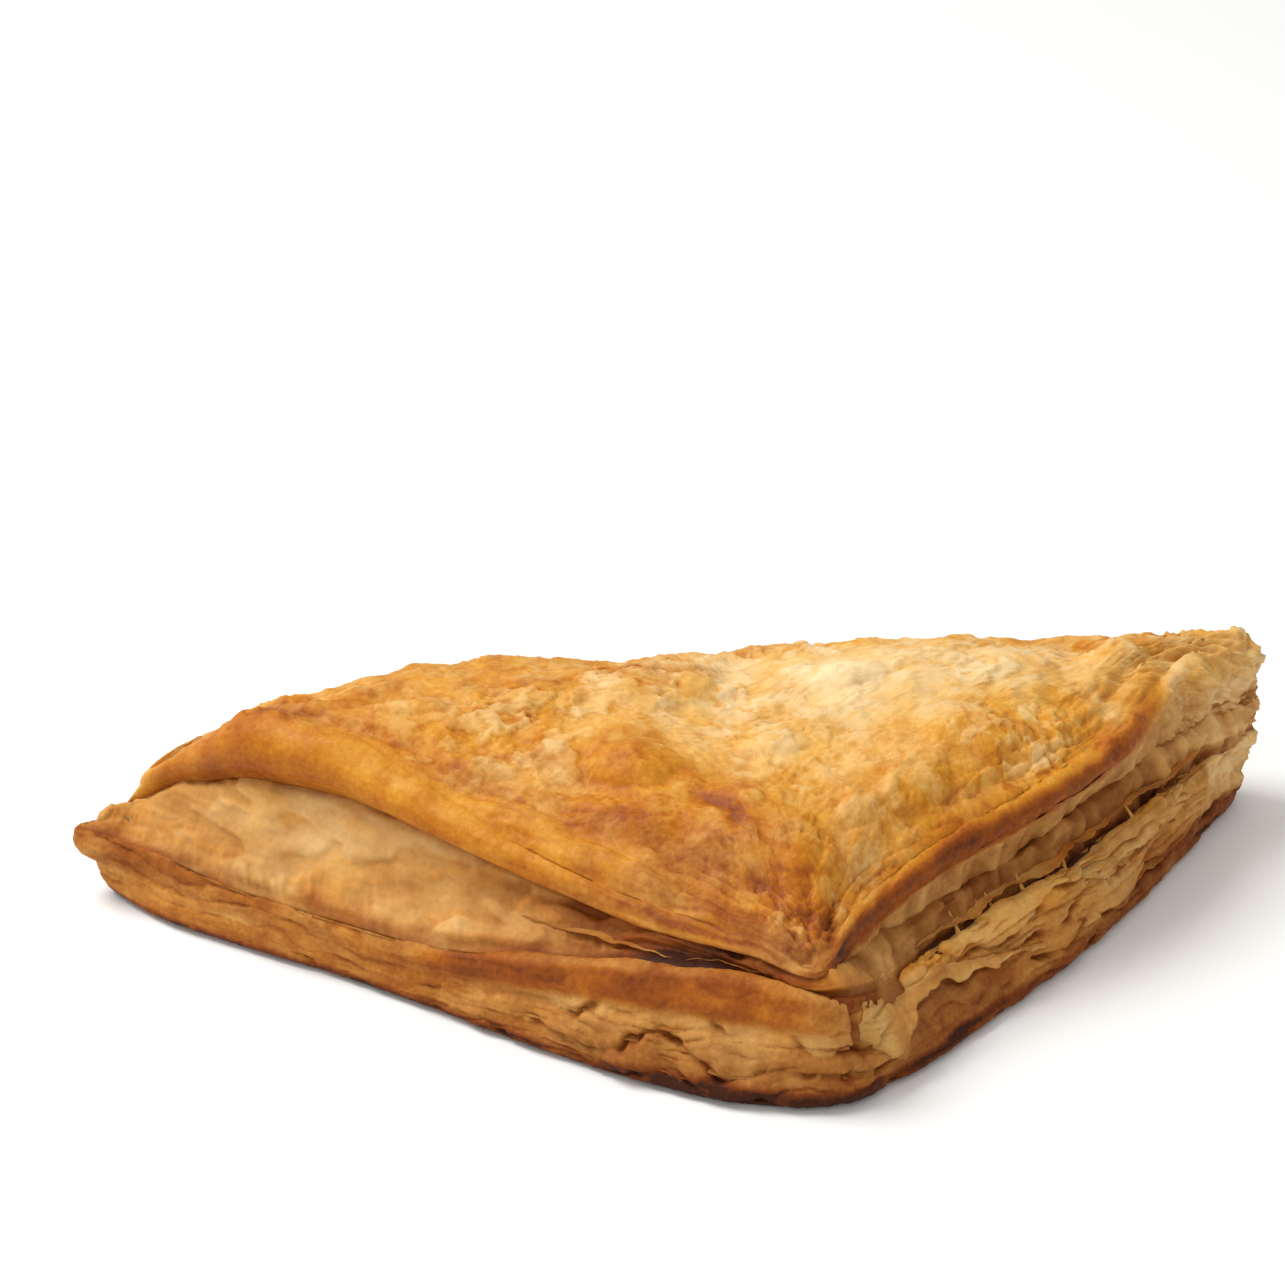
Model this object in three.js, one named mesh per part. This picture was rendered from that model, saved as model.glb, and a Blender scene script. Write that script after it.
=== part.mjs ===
// A baked puff pastry turnover: a square sheet of laminated dough folded corner to corner over a filling.
// It is one closed solid. A triangle seen from above, it has its rounded fold at the back (+Y), and two cut
// sides that meet at the apex (-Y), where the lower sheet stands out as a shelf, a crease runs above it and
// the upper sheet ends in a lip. Millimetres, +Z up, +X along the fold from the thin left tip to the thick
// right tip. The origin is the centre of the footprint, on the surface that the turnover rests on.
import * as THREE from "three";
import { mergeVertices } from "three/addons/utils/BufferGeometryUtils.js";

// The surface is lofted through five rings, which all start at the left tip and run by way of the apex and
// the right tip back along the fold. Point n of each ring stands over point n of the others.
// The foot is the outline that the turnover stands on, all at FOOT_HEIGHT.
const FOOT_HEIGHT = 0.9;
const FOOT = [
  [-82, 3], [-74, -6], [-62, -16.6], [-50, -25.9], [-38.6, -36], [-27, -47], [-15, -56.9], [-2, -64.9],
  [11.4, -67.2], [21, -62.3], [32, -53], [48, -38.5], [62, -24], [74, -9.2],
  [82, 2.6], [74, 6.4], [40, 7], [0, 7.2], [-42, 6.8], [-70, 5.6],
];

// The shelf is the top edge of the lower sheet
const SHELF = [
  [-83, 3, 10], [-74.6, -3.8, 9.6], [-62, -15.9, 8.8], [-49.8, -25.2, 8.4], [-38.3, -34.6, 9],
  [-26, -44, 12], [-14, -51.8, 14.3], [-0.5, -58.8, 15.2],
  [10.6, -64.8, 14.4], [18.4, -57.8, 10], [28.4, -48.4, 10.6], [44.8, -37, 11.8], [60, -23.8, 12.2],
  [74.6, -8.4, 12],
  [84.8, 3, 11], [76, 8, 12], [40, 9.2, 12], [0, 9.6, 12], [-42, 9, 11], [-70, 7, 10],
];

// The crease is the deep fold where the upper sheet meets the lower one
const CREASE = [
  [-78, 3.8, 11.8], [-71.6, 1.6, 15], [-60, -7, 20], [-47.9, -14.8, 20.8], [-36.6, -25, 19.8],
  [-24.5, -35, 17.9], [-12, -45.4, 16.5], [0.6, -55, 16],
  [9, -61.6, 15.4], [17, -52, 12.8], [28, -43.6, 13.9], [44, -31.8, 15.2], [58, -20.4, 16.4], [73, -7.4, 17],
  [85, 3.2, 16.4], [76, 8.2, 17], [40, 9.4, 17], [0, 9.8, 17], [-42, 8.8, 15.8], [-70, 6.6, 13],
];

// The lip is the outermost line of the upper sheet's edge
const LIP = [
  [-77, 3.6, 13.4], [-71.2, 1.2, 17], [-61, -8.2, 23.6], [-49, -16.8, 24.6], [-37.8, -27.4, 22.8],
  [-25.4, -37.4, 20.2], [-12.6, -48, 18.2], [0.4, -57.2, 17.5],
  [8.8, -63.4, 16.8], [16, -53, 17.2], [28.6, -43.2, 20.2], [45, -34.4, 22.6], [59, -23.2, 24],
  [70.4, -8.6, 24.6],
  [84.2, 3.2, 21.6], [75.4, 7.2, 22.2], [40, 8.2, 23.4], [0, 8.4, 23.8], [-42, 7.4, 23], [-69, 5.4, 17],
];

// The brow is where the upper sheet turns level
const BROW = [
  [-74.6, 3.8, 15.4], [-68.2, 2.4, 19.8], [-56.5, -3.4, 30.2], [-44.8, -13, 29.4], [-35, -24.6, 26.6],
  [-24.6, -35.6, 22.9], [-11.2, -46.6, 20.3], [1.4, -55.4, 19.3],
  [8.6, -60.6, 18.8], [15.4, -50.6, 19.4], [27.4, -41.2, 22], [43.2, -32.4, 24.6], [57.2, -21.4, 25.8],
  [68.6, -6.8, 26.6],
  [80.6, 2.6, 26.8], [72, 4.2, 25.8], [40, 4.4, 27.8], [0, 4.6, 28.6], [-42, 4, 29], [-66, 3.6, 21.6],
];

// The flat underside: where it ends inside the foot, and how far out its rings are
const SOLE_INSET = 2.4;
const SOLE_RINGS = [0.35, 0.75];

// The crown is the height that the upper sheet reaches away from its edges, and the point it closes on
const CROWN = 30;
const CENTRE = new THREE.Vector2(8, -22);
const APEX_FALL = { from: -16, rate: 0.0038 };
const LEFT_FALL = { from: -47, rate: 0.014 };
const RIGHT_FALL = { from: 45, rate: 0.0026 };
const SHOULDER = 0.16; // share of the way from the brow to the centre over which most of the rise happens

// The laminations of the lower sheet: ribs that stand out over grooves, and wander up and down. They are open
// on the cut sides, and close up between these two places, measured along +Y, where the sheet is folded.
const LAMINATIONS = 7;
const RIB_DEPTH = 0.7;
const RIB_WANDER = 0.022;
const RIBS_CLOSE = { from: -4, to: 6 };

// How finely the surface is divided
const STATIONS = 150;
const SLOPE_ROWS = 3;
const LIP_ROWS = 3;
const TOP_ROWS = 9;

// Swellings of the upper sheet, as { x, y, across, along, turn, rise }: a bell-shaped mound of those
// half-widths, turned from +X by turn degrees. A negative rise is a hollow.
const SWELLS = [
  { x: -30, y: -6, across: 10, along: 24, turn: -5, rise: 2 },
  { x: -5, y: -8, across: 7, along: 8, turn: 0, rise: 2.4 },
  { x: -9, y: -22, across: 5, along: 9, turn: -35, rise: 1.6 },
  { x: -22, y: -25, across: 4, along: 17, turn: -38, rise: -2 },
  { x: 8, y: -3, across: 4, along: 12, turn: 75, rise: -2.6 },
  { x: 26, y: -10, across: 8, along: 12, turn: 15, rise: 1.4 },
  { x: 42, y: -6, across: 6, along: 9, turn: 0, rise: 1.2 },
  { x: 35, y: -25, across: 6, along: 9, turn: 35, rise: 1.6 },
  { x: 56, y: -2, across: 4, along: 11, turn: 65, rise: -2.4 },
  { x: 68, y: 0, across: 5, along: 8, turn: 20, rise: 1.2 },
  { x: 8, y: -42, across: 7, along: 10, turn: 0, rise: 1.4 },
];

function ring(points) {
  const corners = points.map(([x, y, z = FOOT_HEIGHT]) => new THREE.Vector3(x, y, z));
  return new THREE.CatmullRomCurve3(corners, true, "centripetal");
}

const foot = ring(FOOT);
const shelf = ring(SHELF);
const crease = ring(CREASE);
const lip = ring(LIP);
const brow = ring(BROW);

const excess = (value) => Math.max(0, value);

// The height that the upper sheet tends to at a point of the footprint: level over the filling, and falling
// away towards the apex and the two tips as the square of the distance, with the swellings added
function crownAt(x, y) {
  let height = CROWN;
  height -= APEX_FALL.rate * excess(APEX_FALL.from - y) ** 2;
  height -= LEFT_FALL.rate * excess(LEFT_FALL.from - x) ** 2;
  height -= RIGHT_FALL.rate * excess(x - RIGHT_FALL.from) ** 2;
  for (const swell of SWELLS) {
    const turn = THREE.MathUtils.degToRad(swell.turn);
    const dx = x - swell.x;
    const dy = y - swell.y;
    const u = (dx * Math.cos(turn) + dy * Math.sin(turn)) / swell.along;
    const v = (dy * Math.cos(turn) - dx * Math.sin(turn)) / swell.across;
    height += swell.rise * Math.exp(-(u * u + v * v));
  }
  return height;
}

// The places, as shares of the loop of ring points, of stations evenly spaced along the foot
function stationPlaces() {
  const steps = 40 * FOOT.length;
  const along = [0];
  let last = foot.getPoint(0);
  for (let i = 1; i <= steps; i++) {
    const here = foot.getPoint(i / steps);
    along.push(along[i - 1] + here.distanceTo(last));
    last = here;
  }
  const places = [];
  for (let n = 0, i = 0; n < STATIONS; n++) {
    const wanted = (n / STATIONS) * along[steps];
    while (along[i + 1] < wanted) i++;
    places.push((i + (wanted - along[i]) / (along[i + 1] - along[i])) / steps);
  }
  return places;
}

// A point of the cross-section at one place, moved outwards, square to the foot, by a distance
function movedOut(point, place, distance) {
  const tangent = foot.getTangent(place);
  const outward = new THREE.Vector3(tangent.y, -tangent.x, 0).normalize();
  return point.clone().addScaledVector(outward, distance);
}

// The cross-section at one place, from the inner ring of the sole, up the side and over to the crown
function rib(place) {
  const [footPoint, shelfPoint, creasePoint, lipPoint, browPoint] = [foot, shelf, crease, lip, brow].map(
    (curve) => curve.getPoint(place),
  );
  const centre = new THREE.Vector3(CENTRE.x, CENTRE.y, 0);
  const lap = place * 2 * Math.PI;
  const points = [];

  // The sole
  const soleEdge = movedOut(footPoint, place, -SOLE_INSET).setZ(0);
  for (const share of SOLE_RINGS) points.push(centre.clone().lerp(soleEdge, share));
  points.push(soleEdge, footPoint);

  // The lower sheet: every second lamination is a groove
  const open = 1 - THREE.MathUtils.smoothstep(footPoint.y, RIBS_CLOSE.from, RIBS_CLOSE.to);
  for (let layer = 0; layer < LAMINATIONS; layer++) {
    const wander = Math.sin(11 * lap + 2.1 * layer) + Math.sin(7 * lap - 1.3 * layer);
    const share = (layer + 0.7) / (LAMINATIONS + 0.4) + RIB_WANDER * wander;
    const depth = layer % 2 ? -RIB_DEPTH * (1 + 0.4 * wander) : 0.3 * RIB_DEPTH;
    points.push(movedOut(footPoint.clone().lerp(shelfPoint, share), place, open * depth));
  }
  points.push(shelfPoint);

  // The inner dough, hollowed between the shelf and the crease
  for (let row = 1; row <= SLOPE_ROWS; row++) {
    const share = row / (SLOPE_ROWS + 1);
    const point = shelfPoint.clone().lerp(creasePoint, share ** 0.8);
    point.z = shelfPoint.z + (creasePoint.z - shelfPoint.z) * share - 0.7 * Math.sin(Math.PI * share);
    points.push(point);
  }
  points.push(creasePoint, lipPoint);

  // The upper sheet's rounded edge: a quarter of an ellipse from the lip to the brow
  for (let row = 1; row < LIP_ROWS; row++) {
    const angle = (row / LIP_ROWS) * (Math.PI / 2);
    const point = lipPoint.clone().lerp(browPoint, 1 - Math.cos(angle));
    point.z = lipPoint.z + (browPoint.z - lipPoint.z) * Math.sin(angle);
    points.push(point);
  }
  points.push(browPoint);

  // The upper sheet: it leaves the brow, rises over the shoulder and closes in on the centre
  for (let row = 1; row <= TOP_ROWS; row++) {
    const share = (row / (TOP_ROWS + 1)) ** 1.2;
    const point = browPoint.clone().lerp(centre, share);
    const risen = (1 - Math.exp(-share / SHOULDER)) / (1 - Math.exp(-1 / SHOULDER));
    point.z = browPoint.z + (crownAt(point.x, point.y) - browPoint.z) * risen;
    points.push(point);
  }
  return points;
}

// Closes the ribs into one surface: a pole under the sole, the lofted rows, and a pole at the crown
function turnoverGeometry() {
  const ribs = stationPlaces().map(rib);
  const rows = ribs[0].length;
  const positions = [];
  const faces = [];
  for (const points of ribs) for (const point of points) positions.push(point.x, point.y, point.z);
  const solePole = positions.length / 3;
  positions.push(CENTRE.x, CENTRE.y, 0);
  const crownPole = solePole + 1;
  positions.push(CENTRE.x, CENTRE.y, crownAt(CENTRE.x, CENTRE.y));

  for (let station = 0; station < STATIONS; station++) {
    const here = station * rows;
    const next = ((station + 1) % STATIONS) * rows;
    faces.push(solePole, next, here);
    for (let row = 0; row < rows - 1; row++) {
      faces.push(here + row, next + row, next + row + 1);
      faces.push(here + row, next + row + 1, here + row + 1);
    }
    faces.push(crownPole, here + rows - 1, next + rows - 1);
  }

  const geometry = new THREE.BufferGeometry();
  geometry.setAttribute("position", new THREE.Float32BufferAttribute(positions, 3));
  geometry.setIndex(faces);
  geometry.computeBoundingBox();
  const middle = geometry.boundingBox.getCenter(new THREE.Vector3());
  geometry.translate(-middle.x, -middle.y, 0);
  const merged = mergeVertices(geometry);
  merged.computeVertexNormals();
  return merged;
}

const bakedDough = new THREE.MeshStandardMaterial({ color: 0xd39a55, roughness: 0.62, metalness: 0 });

const pastry = new THREE.Mesh(turnoverGeometry(), bakedDough);
pastry.name = "pastry";

const turnover = new THREE.Group();
turnover.add(pastry);

export default turnover;
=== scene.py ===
"""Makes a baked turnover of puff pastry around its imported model, as an add-on that is run as a script.

The pastry is lofted through five rings, as the model is, and each of its surfaces is a function of lap, the
share of the way round the foot from the left tip, and of a second share across the surface. Lengths are in
millimetres until a mesh is made, and the rings' own origin is the middle of the fold.
"""

import bpy
import numpy as np
from bpy.props import FloatProperty, FloatVectorProperty, IntProperty, PointerProperty
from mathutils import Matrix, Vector


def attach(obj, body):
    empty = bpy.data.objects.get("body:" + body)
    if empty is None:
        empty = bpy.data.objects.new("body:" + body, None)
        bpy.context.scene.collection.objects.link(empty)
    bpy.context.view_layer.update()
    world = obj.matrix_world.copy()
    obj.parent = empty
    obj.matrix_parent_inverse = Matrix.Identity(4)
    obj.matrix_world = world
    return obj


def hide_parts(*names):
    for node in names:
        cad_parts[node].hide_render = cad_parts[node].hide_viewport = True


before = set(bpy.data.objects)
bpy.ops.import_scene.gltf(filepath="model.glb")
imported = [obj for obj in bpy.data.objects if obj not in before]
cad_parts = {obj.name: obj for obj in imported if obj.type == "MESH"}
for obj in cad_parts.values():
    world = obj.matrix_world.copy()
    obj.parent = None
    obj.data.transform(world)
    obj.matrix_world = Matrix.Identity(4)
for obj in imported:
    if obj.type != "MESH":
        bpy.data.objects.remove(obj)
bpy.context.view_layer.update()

bl_info = {
    "name": "Puff pastry turnover",
    "version": (1, 0, 0),
    "blender": (4, 5, 0),
    "location": "View3D > Sidebar > Turnover",
    "description": "Makes a baked turnover with laminated edges, blisters and torn films",
    "category": "Add Mesh",
}

NODE = "pastry"
BODY = "root"

# ---------------------------------------------------------------------------------------------------------
# The rings, in millimetres. They all start at the left tip and run by way of the apex and the right tip back
# along the fold, and point n of each stands over point n of the others.

FOOT_HEIGHT = 0.9
RINGS = {
    "foot": [
        (-79.4, 2.9), (-74, -6), (-62, -16.6), (-50, -25.9), (-38.6, -36), (-27, -47), (-15, -56.9),
        (-2, -64.9), (11.4, -67.2), (21, -62.3), (32, -53), (48, -38.5), (62, -24), (74, -9.2),
        (82, 2.6), (74, 6.4), (40, 7), (0, 7.2), (-42, 6.8), (-70, 5.6),
    ],
    "shelf": [
        (-83, 3, 10), (-74.6, -3.8, 9.6), (-62, -15.9, 8.8), (-49.8, -25.2, 8.4), (-38.3, -34.6, 9),
        (-26, -44, 12), (-14, -51.8, 14.3), (-0.5, -58.8, 15.2), (10.6, -64.8, 14.4),
        (18.4, -57.8, 10), (28.4, -48.4, 10.6), (44.8, -37, 11.8), (60, -23.8, 12.2), (74.6, -8.4, 12),
        (84.8, 3, 11), (76, 8, 12), (40, 9.2, 12), (0, 9.6, 12), (-42, 9, 11), (-70, 7, 10),
    ],
    "crease": [
        (-78, 3.8, 11.8), (-71.6, 1.6, 15), (-60, -7, 20), (-47.9, -14.8, 20.8), (-36.6, -25, 19.8),
        (-24.5, -35, 17.9), (-12, -45.4, 16.5), (0.6, -55, 16), (9, -61.6, 15.4), (17, -52, 12.8),
        (28, -43.6, 13.9), (44, -31.8, 15.2), (58, -20.4, 16.4), (73, -7.4, 17), (85, 3.2, 16.4),
        (76, 8.2, 17), (40, 9.4, 17), (0, 9.8, 17), (-42, 8.8, 15.8), (-70, 6.6, 13),
    ],
    "lip": [
        (-73.8, 3.9, 15.4), (-69.8, 1.2, 17.8), (-61, -8.2, 23.6), (-49, -16.8, 24.6),
        (-37.8, -27.4, 22.8), (-25.4, -37.4, 20.2), (-12.6, -48, 18.2), (0.4, -57.2, 17.5),
        (8.8, -63.4, 16.8), (16, -53, 17.2), (28.6, -43.2, 20.2), (45, -34.4, 22.6), (59, -23.2, 24),
        (70.4, -8.6, 24.6), (84.2, 3.2, 21.6), (75.4, 7.2, 22.2), (40, 8.2, 23.4), (0, 8.4, 23.8),
        (-42, 7.4, 23), (-69, 5.4, 17),
    ],
    "brow": [
        (-71.6, 4.6, 17.6), (-66.8, 2.1, 20.8), (-56.5, -3.4, 30.2), (-44.8, -13, 29.4),
        (-35, -24.6, 26.6), (-24.6, -35.6, 22.9), (-11.2, -46.6, 20.3), (1.4, -55.4, 19.3),
        (8.6, -60.6, 18.8), (15.4, -50.6, 19.4), (27.4, -41.2, 22), (43.2, -32.4, 24.6),
        (57.2, -21.4, 25.8), (68.6, -6.8, 26.6), (80.6, 2.6, 26.8), (72, 4.2, 25.8), (40, 4.4, 27.8),
        (0, 4.6, 28.6), (-42, 4, 29), (-66, 4.5, 21.6),
    ],
}
STATIONS = len(RINGS["foot"])
APEX = 8        # the ring points at the apex, at the right tip and where the fold starts and ends
RIGHT_TIP = 14
RING_CENTRE = (0.81, -28.745)   # from the middle of the fold to the centre of the footprint

CENTRE = (8.0, -22.0)   # what the upper sheet closes in on
CROWN = 30.0            # its height away from its edges
SHOULDER = 0.16         # share of the way to the centre over which it rises
FALLS = {"apex": (-16.0, 0.0038), "left": (-47.0, 0.014), "right": (45.0, 0.0026)}

# Swellings of the upper sheet: x, y, half-width across, half-length along, turn in degrees, rise
SWELLS = [
    (-30, -6, 10, 24, -5, 2), (-5, -8, 7, 8, 0, 2.4), (-9, -22, 5, 9, -35, 1.6),
    (-22, -25, 4, 17, -38, -2), (8, -3, 4, 12, 75, -2.6), (26, -10, 8, 12, 15, 1.4),
    (42, -6, 6, 9, 0, 1.2), (35, -25, 6, 9, 35, 1.6), (56, -2, 4, 11, 65, -2.4),
    (68, 0, 5, 8, 20, 1.2), (8, -42, 7, 10, 0, 1.4),
]

# Blisters of the crust: x, y, half-width across, half-length along, turn in degrees, rise
BLISTERS = [
    (-9.5, -27.0, 4.0, 6.5, -12, 1.5), (27, -33.5, 3.8, 5.6, 32, 1.5), (-46, -3, 4.0, 9.0, 10, 0.9),
    (-28.5, -21.5, 2.4, 3.9, -22, 1.0), (22.5, -9, 4.0, 8.0, 12, 1.2), (4, -8, 3.4, 6.5, 0, 1.1),
    (9.5, -24, 3.0, 5.0, 5, 1.0), (40, -26.5, 2.4, 4.6, 40, 0.8), (-19, -10, 3.4, 6.5, 8, 1.0),
    (2.5, -35.5, 2.6, 4.4, -30, 0.9), (46, -14, 3.0, 5.6, 26, 0.9), (-37, -9, 2.2, 5.0, -10, 0.7),
    (18, -38.5, 2.2, 4.2, 50, 0.8), (58, -11, 2.0, 4.4, 45, 0.7), (33, -5.5, 2.8, 5.6, 0, 0.8),
    (-2, -1.5, 2.4, 6.0, -8, 0.9), (10, -46, 2.6, 4.0, 10, 0.7), (-17, -31, 1.8, 4.2, -38, 0.7),
]

# Tones of the crust: x, y, half-width across, half-length along, turn, browning added, glaze added
CRUST_TONES = [
    (28, -9, 13, 30, 6, -0.33, -0.70), (8, -25, 4.5, 10, 0, -0.18, -0.30), (2, -1, 5, 10, 0, -0.14, -0.55),
    (-28, -22, 3, 5, -22, -0.14, -0.55), (25, -42.5, 2.4, 5, 40, -0.10, -0.45),
    (17, -31, 3, 6, 20, -0.10, -0.2), (44, -20, 5, 9, 25, 0.0, 0.25), (-9.5, -28, 4.4, 6.6, -12, 0.05, 0.35),
    (27, -34.5, 4, 6, 32, -0.03, 0.35), (-12, -36.5, 3.2, 8, -22, 0.13, 0.1),
    (-58, -4, 7, 12, 30, 0.10, 0.25), (-5, -3.5, 1.5, 9, -22, 0.14, 0.25),
    (8, -57, 9, 13, 0, 0.15, 0.10), (0, -46, 6, 9, -35, 0.08, -0.1), (-16, -13, 6, 11, 0, -0.07, 0.0),
    (-38, -14, 5, 10, -15, 0.02, 0.25), (1, -37, 1.4, 8, -60, 0.14, 0.2), (12, -40, 6, 8, 0, 0.01, 0.0),
]

# Ridges and creases of the crust: from x, y, to x, y, half-width, rise, browning added, glaze added
PLEATS = [
    (14.6, -29, 18.2, -40, 0.9, 0.55, -0.06, -0.1), (26, -31.5, 18.8, -40, 0.9, 0.55, -0.06, -0.1),
    (18.5, -40, 17.5, -46, 1.0, 0.4, 0.0, 0.1), (-2.5, -30, 1.5, -43.5, 1.1, -0.5, 0.14, 0.2),
    (-8, 0.5, -2.5, -8.5, 1.2, -0.5, 0.14, 0.2), (48, -25, 61, -12.5, 1.2, 0.5, 0.02, 0.2),
    (46, -21.5, 60, -8.5, 1.0, -0.5, 0.07, 0.2), (54, -12, 64, -4, 1.0, 0.5, -0.05, 0.0),
    (57, -14.5, 66, -6, 1.1, -0.5, 0.10, 0.2), (-31, -30, -21, -39, 1.3, -0.6, 0.09, 0.1),
    (-22, -38.5, -8, -50.5, 1.1, -0.6, 0.11, 0.0), (-17, -39, -3, -51.5, 1.0, 0.5, 0.0, -0.1),
    (-12, -45.5, 2, -56, 0.8, 0.6, -0.03, 0.0), (-9, -50, 3, -58, 0.8, -0.5, 0.10, 0.0),
    (-62, -1, -42, -5, 1.2, 0.5, 0.05, 0.2), (-56, 2, -38, 0, 1.2, -0.5, 0.10, 0.2),
    (-24, -16, -17, -33, 1.5, -0.6, 0.06, 0.0), (-36, -13, -27, -30, 1.6, 0.4, 0.0, 0.1),
    (8, -17, 17, -16, 1.3, -0.5, 0.07, 0.1), (16, -19, 30, -24, 1.2, -0.4, 0.06, 0.1),
    (31, -14, 42, -22, 1.1, -0.4, 0.05, 0.1), (-14, -20, -3, -21, 1.2, -0.5, 0.07, 0.1),
    (11, -50, 17, -43, 0.9, 0.5, -0.04, 0.0), (3, -46, 8, -57, 0.9, -0.4, 0.09, 0.0),
    (4, -50, 7.4, -60.5, 0.6, -0.5, 0.08, 0.0), (9.5, -49, 8.8, -61, 0.6, -0.5, 0.08, 0.0),
    (1, -51, 5, -60, 0.6, 0.45, -0.03, 0.0), (13.5, -48.5, 10.5, -58.5, 0.6, -0.45, 0.07, 0.0),
]

FLAKE_DEPTH = 0.25          # millimetres that a film which has come away stands up, as the reliefs are drawn
LAMINATION_DEPTH = 0.8      # and the depth of the grooves between the layers

# Zones round the pastry: the ring points that each starts and ends at, and how softly. Ring points before 0
# lie along the fold.
ZONES = {
    "left edge": (0.6, APEX - 0.9, 0.6),
    "right edge": (APEX + 0.4, RIGHT_TIP - 0.2, 0.3),
    "right side": (APEX + 0.4, RIGHT_TIP + 1, 0.4),
    "right dough": (APEX + 0.3, RIGHT_TIP + 1, 0.4),
    "right tip": (RIGHT_TIP - 1.2, RIGHT_TIP + 1.2, 0.5),
    "right tip side": (RIGHT_TIP - 1.2, RIGHT_TIP + 1.0, 0.5),
    "right tip dough": (RIGHT_TIP - 1.4, RIGHT_TIP + 1.2, 0.6),
    "left shoulder": (0.6, 2.6, 0.6),
    "wrinkles by the apex": (5.8, 8.2, 0.6),
    "stretched roll": (5.0, 8.6, 0.8),
    "pinched edge": (5.6, 8.5, 0.7),
    "pale rim": (5.8, 7.9, 0.4),
    "dent of the apex": (APEX - 1.2, APEX + 0.6, 0.5),
    "brown of the apex": (APEX - 1.0, APEX + 0.5, 0.5),
    "burnt edge": (APEX + 0.1, RIGHT_TIP - 1.3, 0.7),
    "calm left side": (-2.0, 4.6, 1.0),
    "left beak": (-0.5, 0.7, 0.4),
    "brown left tip": (-0.9, 1.6, 0.6),
    "left end of the fold": (-2.0, -0.1, 0.3),
    "left tip dough": (-0.9, 0.5, 0.35),
    "left side": (1.8, 5.2, 0.8),
    "smooth band": (3.9, 7.9, 0.6),
    "groove under the band": (4.6, 7.9, 0.6),
    "pale under the band": (4.8, 8.0, 0.6),
    "plain by the band": (3.4, 8.2, 0.5),
    "brown foot by the apex": (5.4, 8.3, 0.6),
    "brown bottom by the apex": (6.4, 10.6, 0.8),
    "deep bottom": (6.0, 14, 1.0),
    "deepest bottom": (11.4, 14.3, 0.9),
    "bare patch": (8.85, 10.5, 0.25),
    "gap between the sheets": (9.75, 12.9, 0.5),
    "full dough": (6.0, 8.6, 0.6),
    "stuck sheets": (8.0, 9.5, 0.4),
    "brown dough": (5.2, 8.4, 1.2),
    "glazed dough": (5.2, 8.4, 0.9),
}

MASK = 0xFFFFFFFF


# ---------------------------------------------------------------------------------------------------------
# Noise and masks

def hashed(cells, seed):
    """A repeatable number from 0 to 1 for each row of three whole numbers: they are multiplied by large odd
    numbers and added to the seed, and the bits of the sum are mixed."""
    mixed = cells[..., 0] * 374761393 + cells[..., 1] * 668265263 + cells[..., 2] * 1440662683
    mixed = (mixed + seed * 1274126177) & MASK
    mixed = ((mixed ^ (mixed >> 15)) * 1103515245) & MASK
    mixed = ((mixed ^ (mixed >> 13)) * 1274126177) & MASK
    return (mixed ^ (mixed >> 16)) / (MASK + 1.0)


SLOPES = np.array([(x, y, z) for x in (-1, 0, 1) for y in (-1, 0, 1) for z in (-1, 0, 1)
                   if abs(x) + abs(y) + abs(z) == 2], float)


def noise(points, seed):
    """Smooth noise of about -1 to 1: each whole-numbered lattice point has a random slope, and the eight
    nearest slopes are blended by 6t^5 - 15t^4 + 10t^3 along each axis."""
    cell = np.floor(points).astype(np.int64)
    part = points - cell
    fade = part ** 3 * (part * (part * 6 - 15) + 10)
    total = np.zeros(points.shape[:-1])
    for x in (0, 1):
        for y in (0, 1):
            for z in (0, 1):
                corner = np.array((x, y, z))
                slope = SLOPES[(hashed(cell + corner, seed) * 12).astype(int)]
                weight = np.prod(np.where(corner, fade, 1 - fade), axis=-1)
                total += weight * np.sum(slope * (part - corner), axis=-1)
    return 1.4 * total


def rough(points, size, seed, octaves):
    """Noise of a given size in millimetres, with finer noises added up to that many octaves, each half the
    size and half the height of the one before."""
    total = np.zeros(points.shape[:-1])
    height = 1.0
    for octave in range(octaves):
        total += height * noise(points / size + 17.3 * octave, seed + octave)
        size *= 0.5
        height *= 0.5
    return total


def cells(points, size, seed):
    """The distances, in millimetres, to the nearest and second nearest of points scattered one to a square
    of the given size, and a random number for the nearest one."""
    flat = points[..., :2] / size
    square = np.floor(flat).astype(np.int64)
    nearest = np.full(flat.shape[:-1], 9.0)
    second = nearest.copy()
    chance = np.zeros(flat.shape[:-1])
    for x in (-1, 0, 1):
        for y in (-1, 0, 1):
            there = square + np.array((x, y))
            key = np.concatenate([there, np.zeros_like(there[..., :1])], axis=-1)
            spot = there + np.stack([hashed(key, seed), hashed(key, seed + 1)], axis=-1)
            gap = np.linalg.norm(spot - flat, axis=-1)
            closer = gap < nearest
            second = np.where(closer, nearest, np.minimum(second, gap))
            chance = np.where(closer, hashed(key, seed + 2), chance)
            nearest = np.where(closer, gap, nearest)
    return nearest * size, second * size, chance


def smooth(low, high, value):
    """A smooth step from 0 at low to 1 at high."""
    part = np.clip((value - low) / (high - low), 0, 1)
    return part * part * (3 - 2 * part)


def window(value, low, high, soft):
    """1 between low and high, and 0 outside, with steps that are soft each way."""
    return smooth(low - soft, low + soft, value) * (1 - smooth(high - soft, high + soft, value))


def hump(value, middle, width):
    """A hump of height 1, the bell curve exp(-((value - middle) / width)^2)."""
    return np.exp(-((value - middle) / width) ** 2)


def spots(along, across=0.0, third=0.0):
    """Points for a noise, from a length along an edge, one across it, and a number that sets it apart."""
    return np.stack(np.broadcast_arrays(along, across, third), axis=-1).astype(float)


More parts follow.
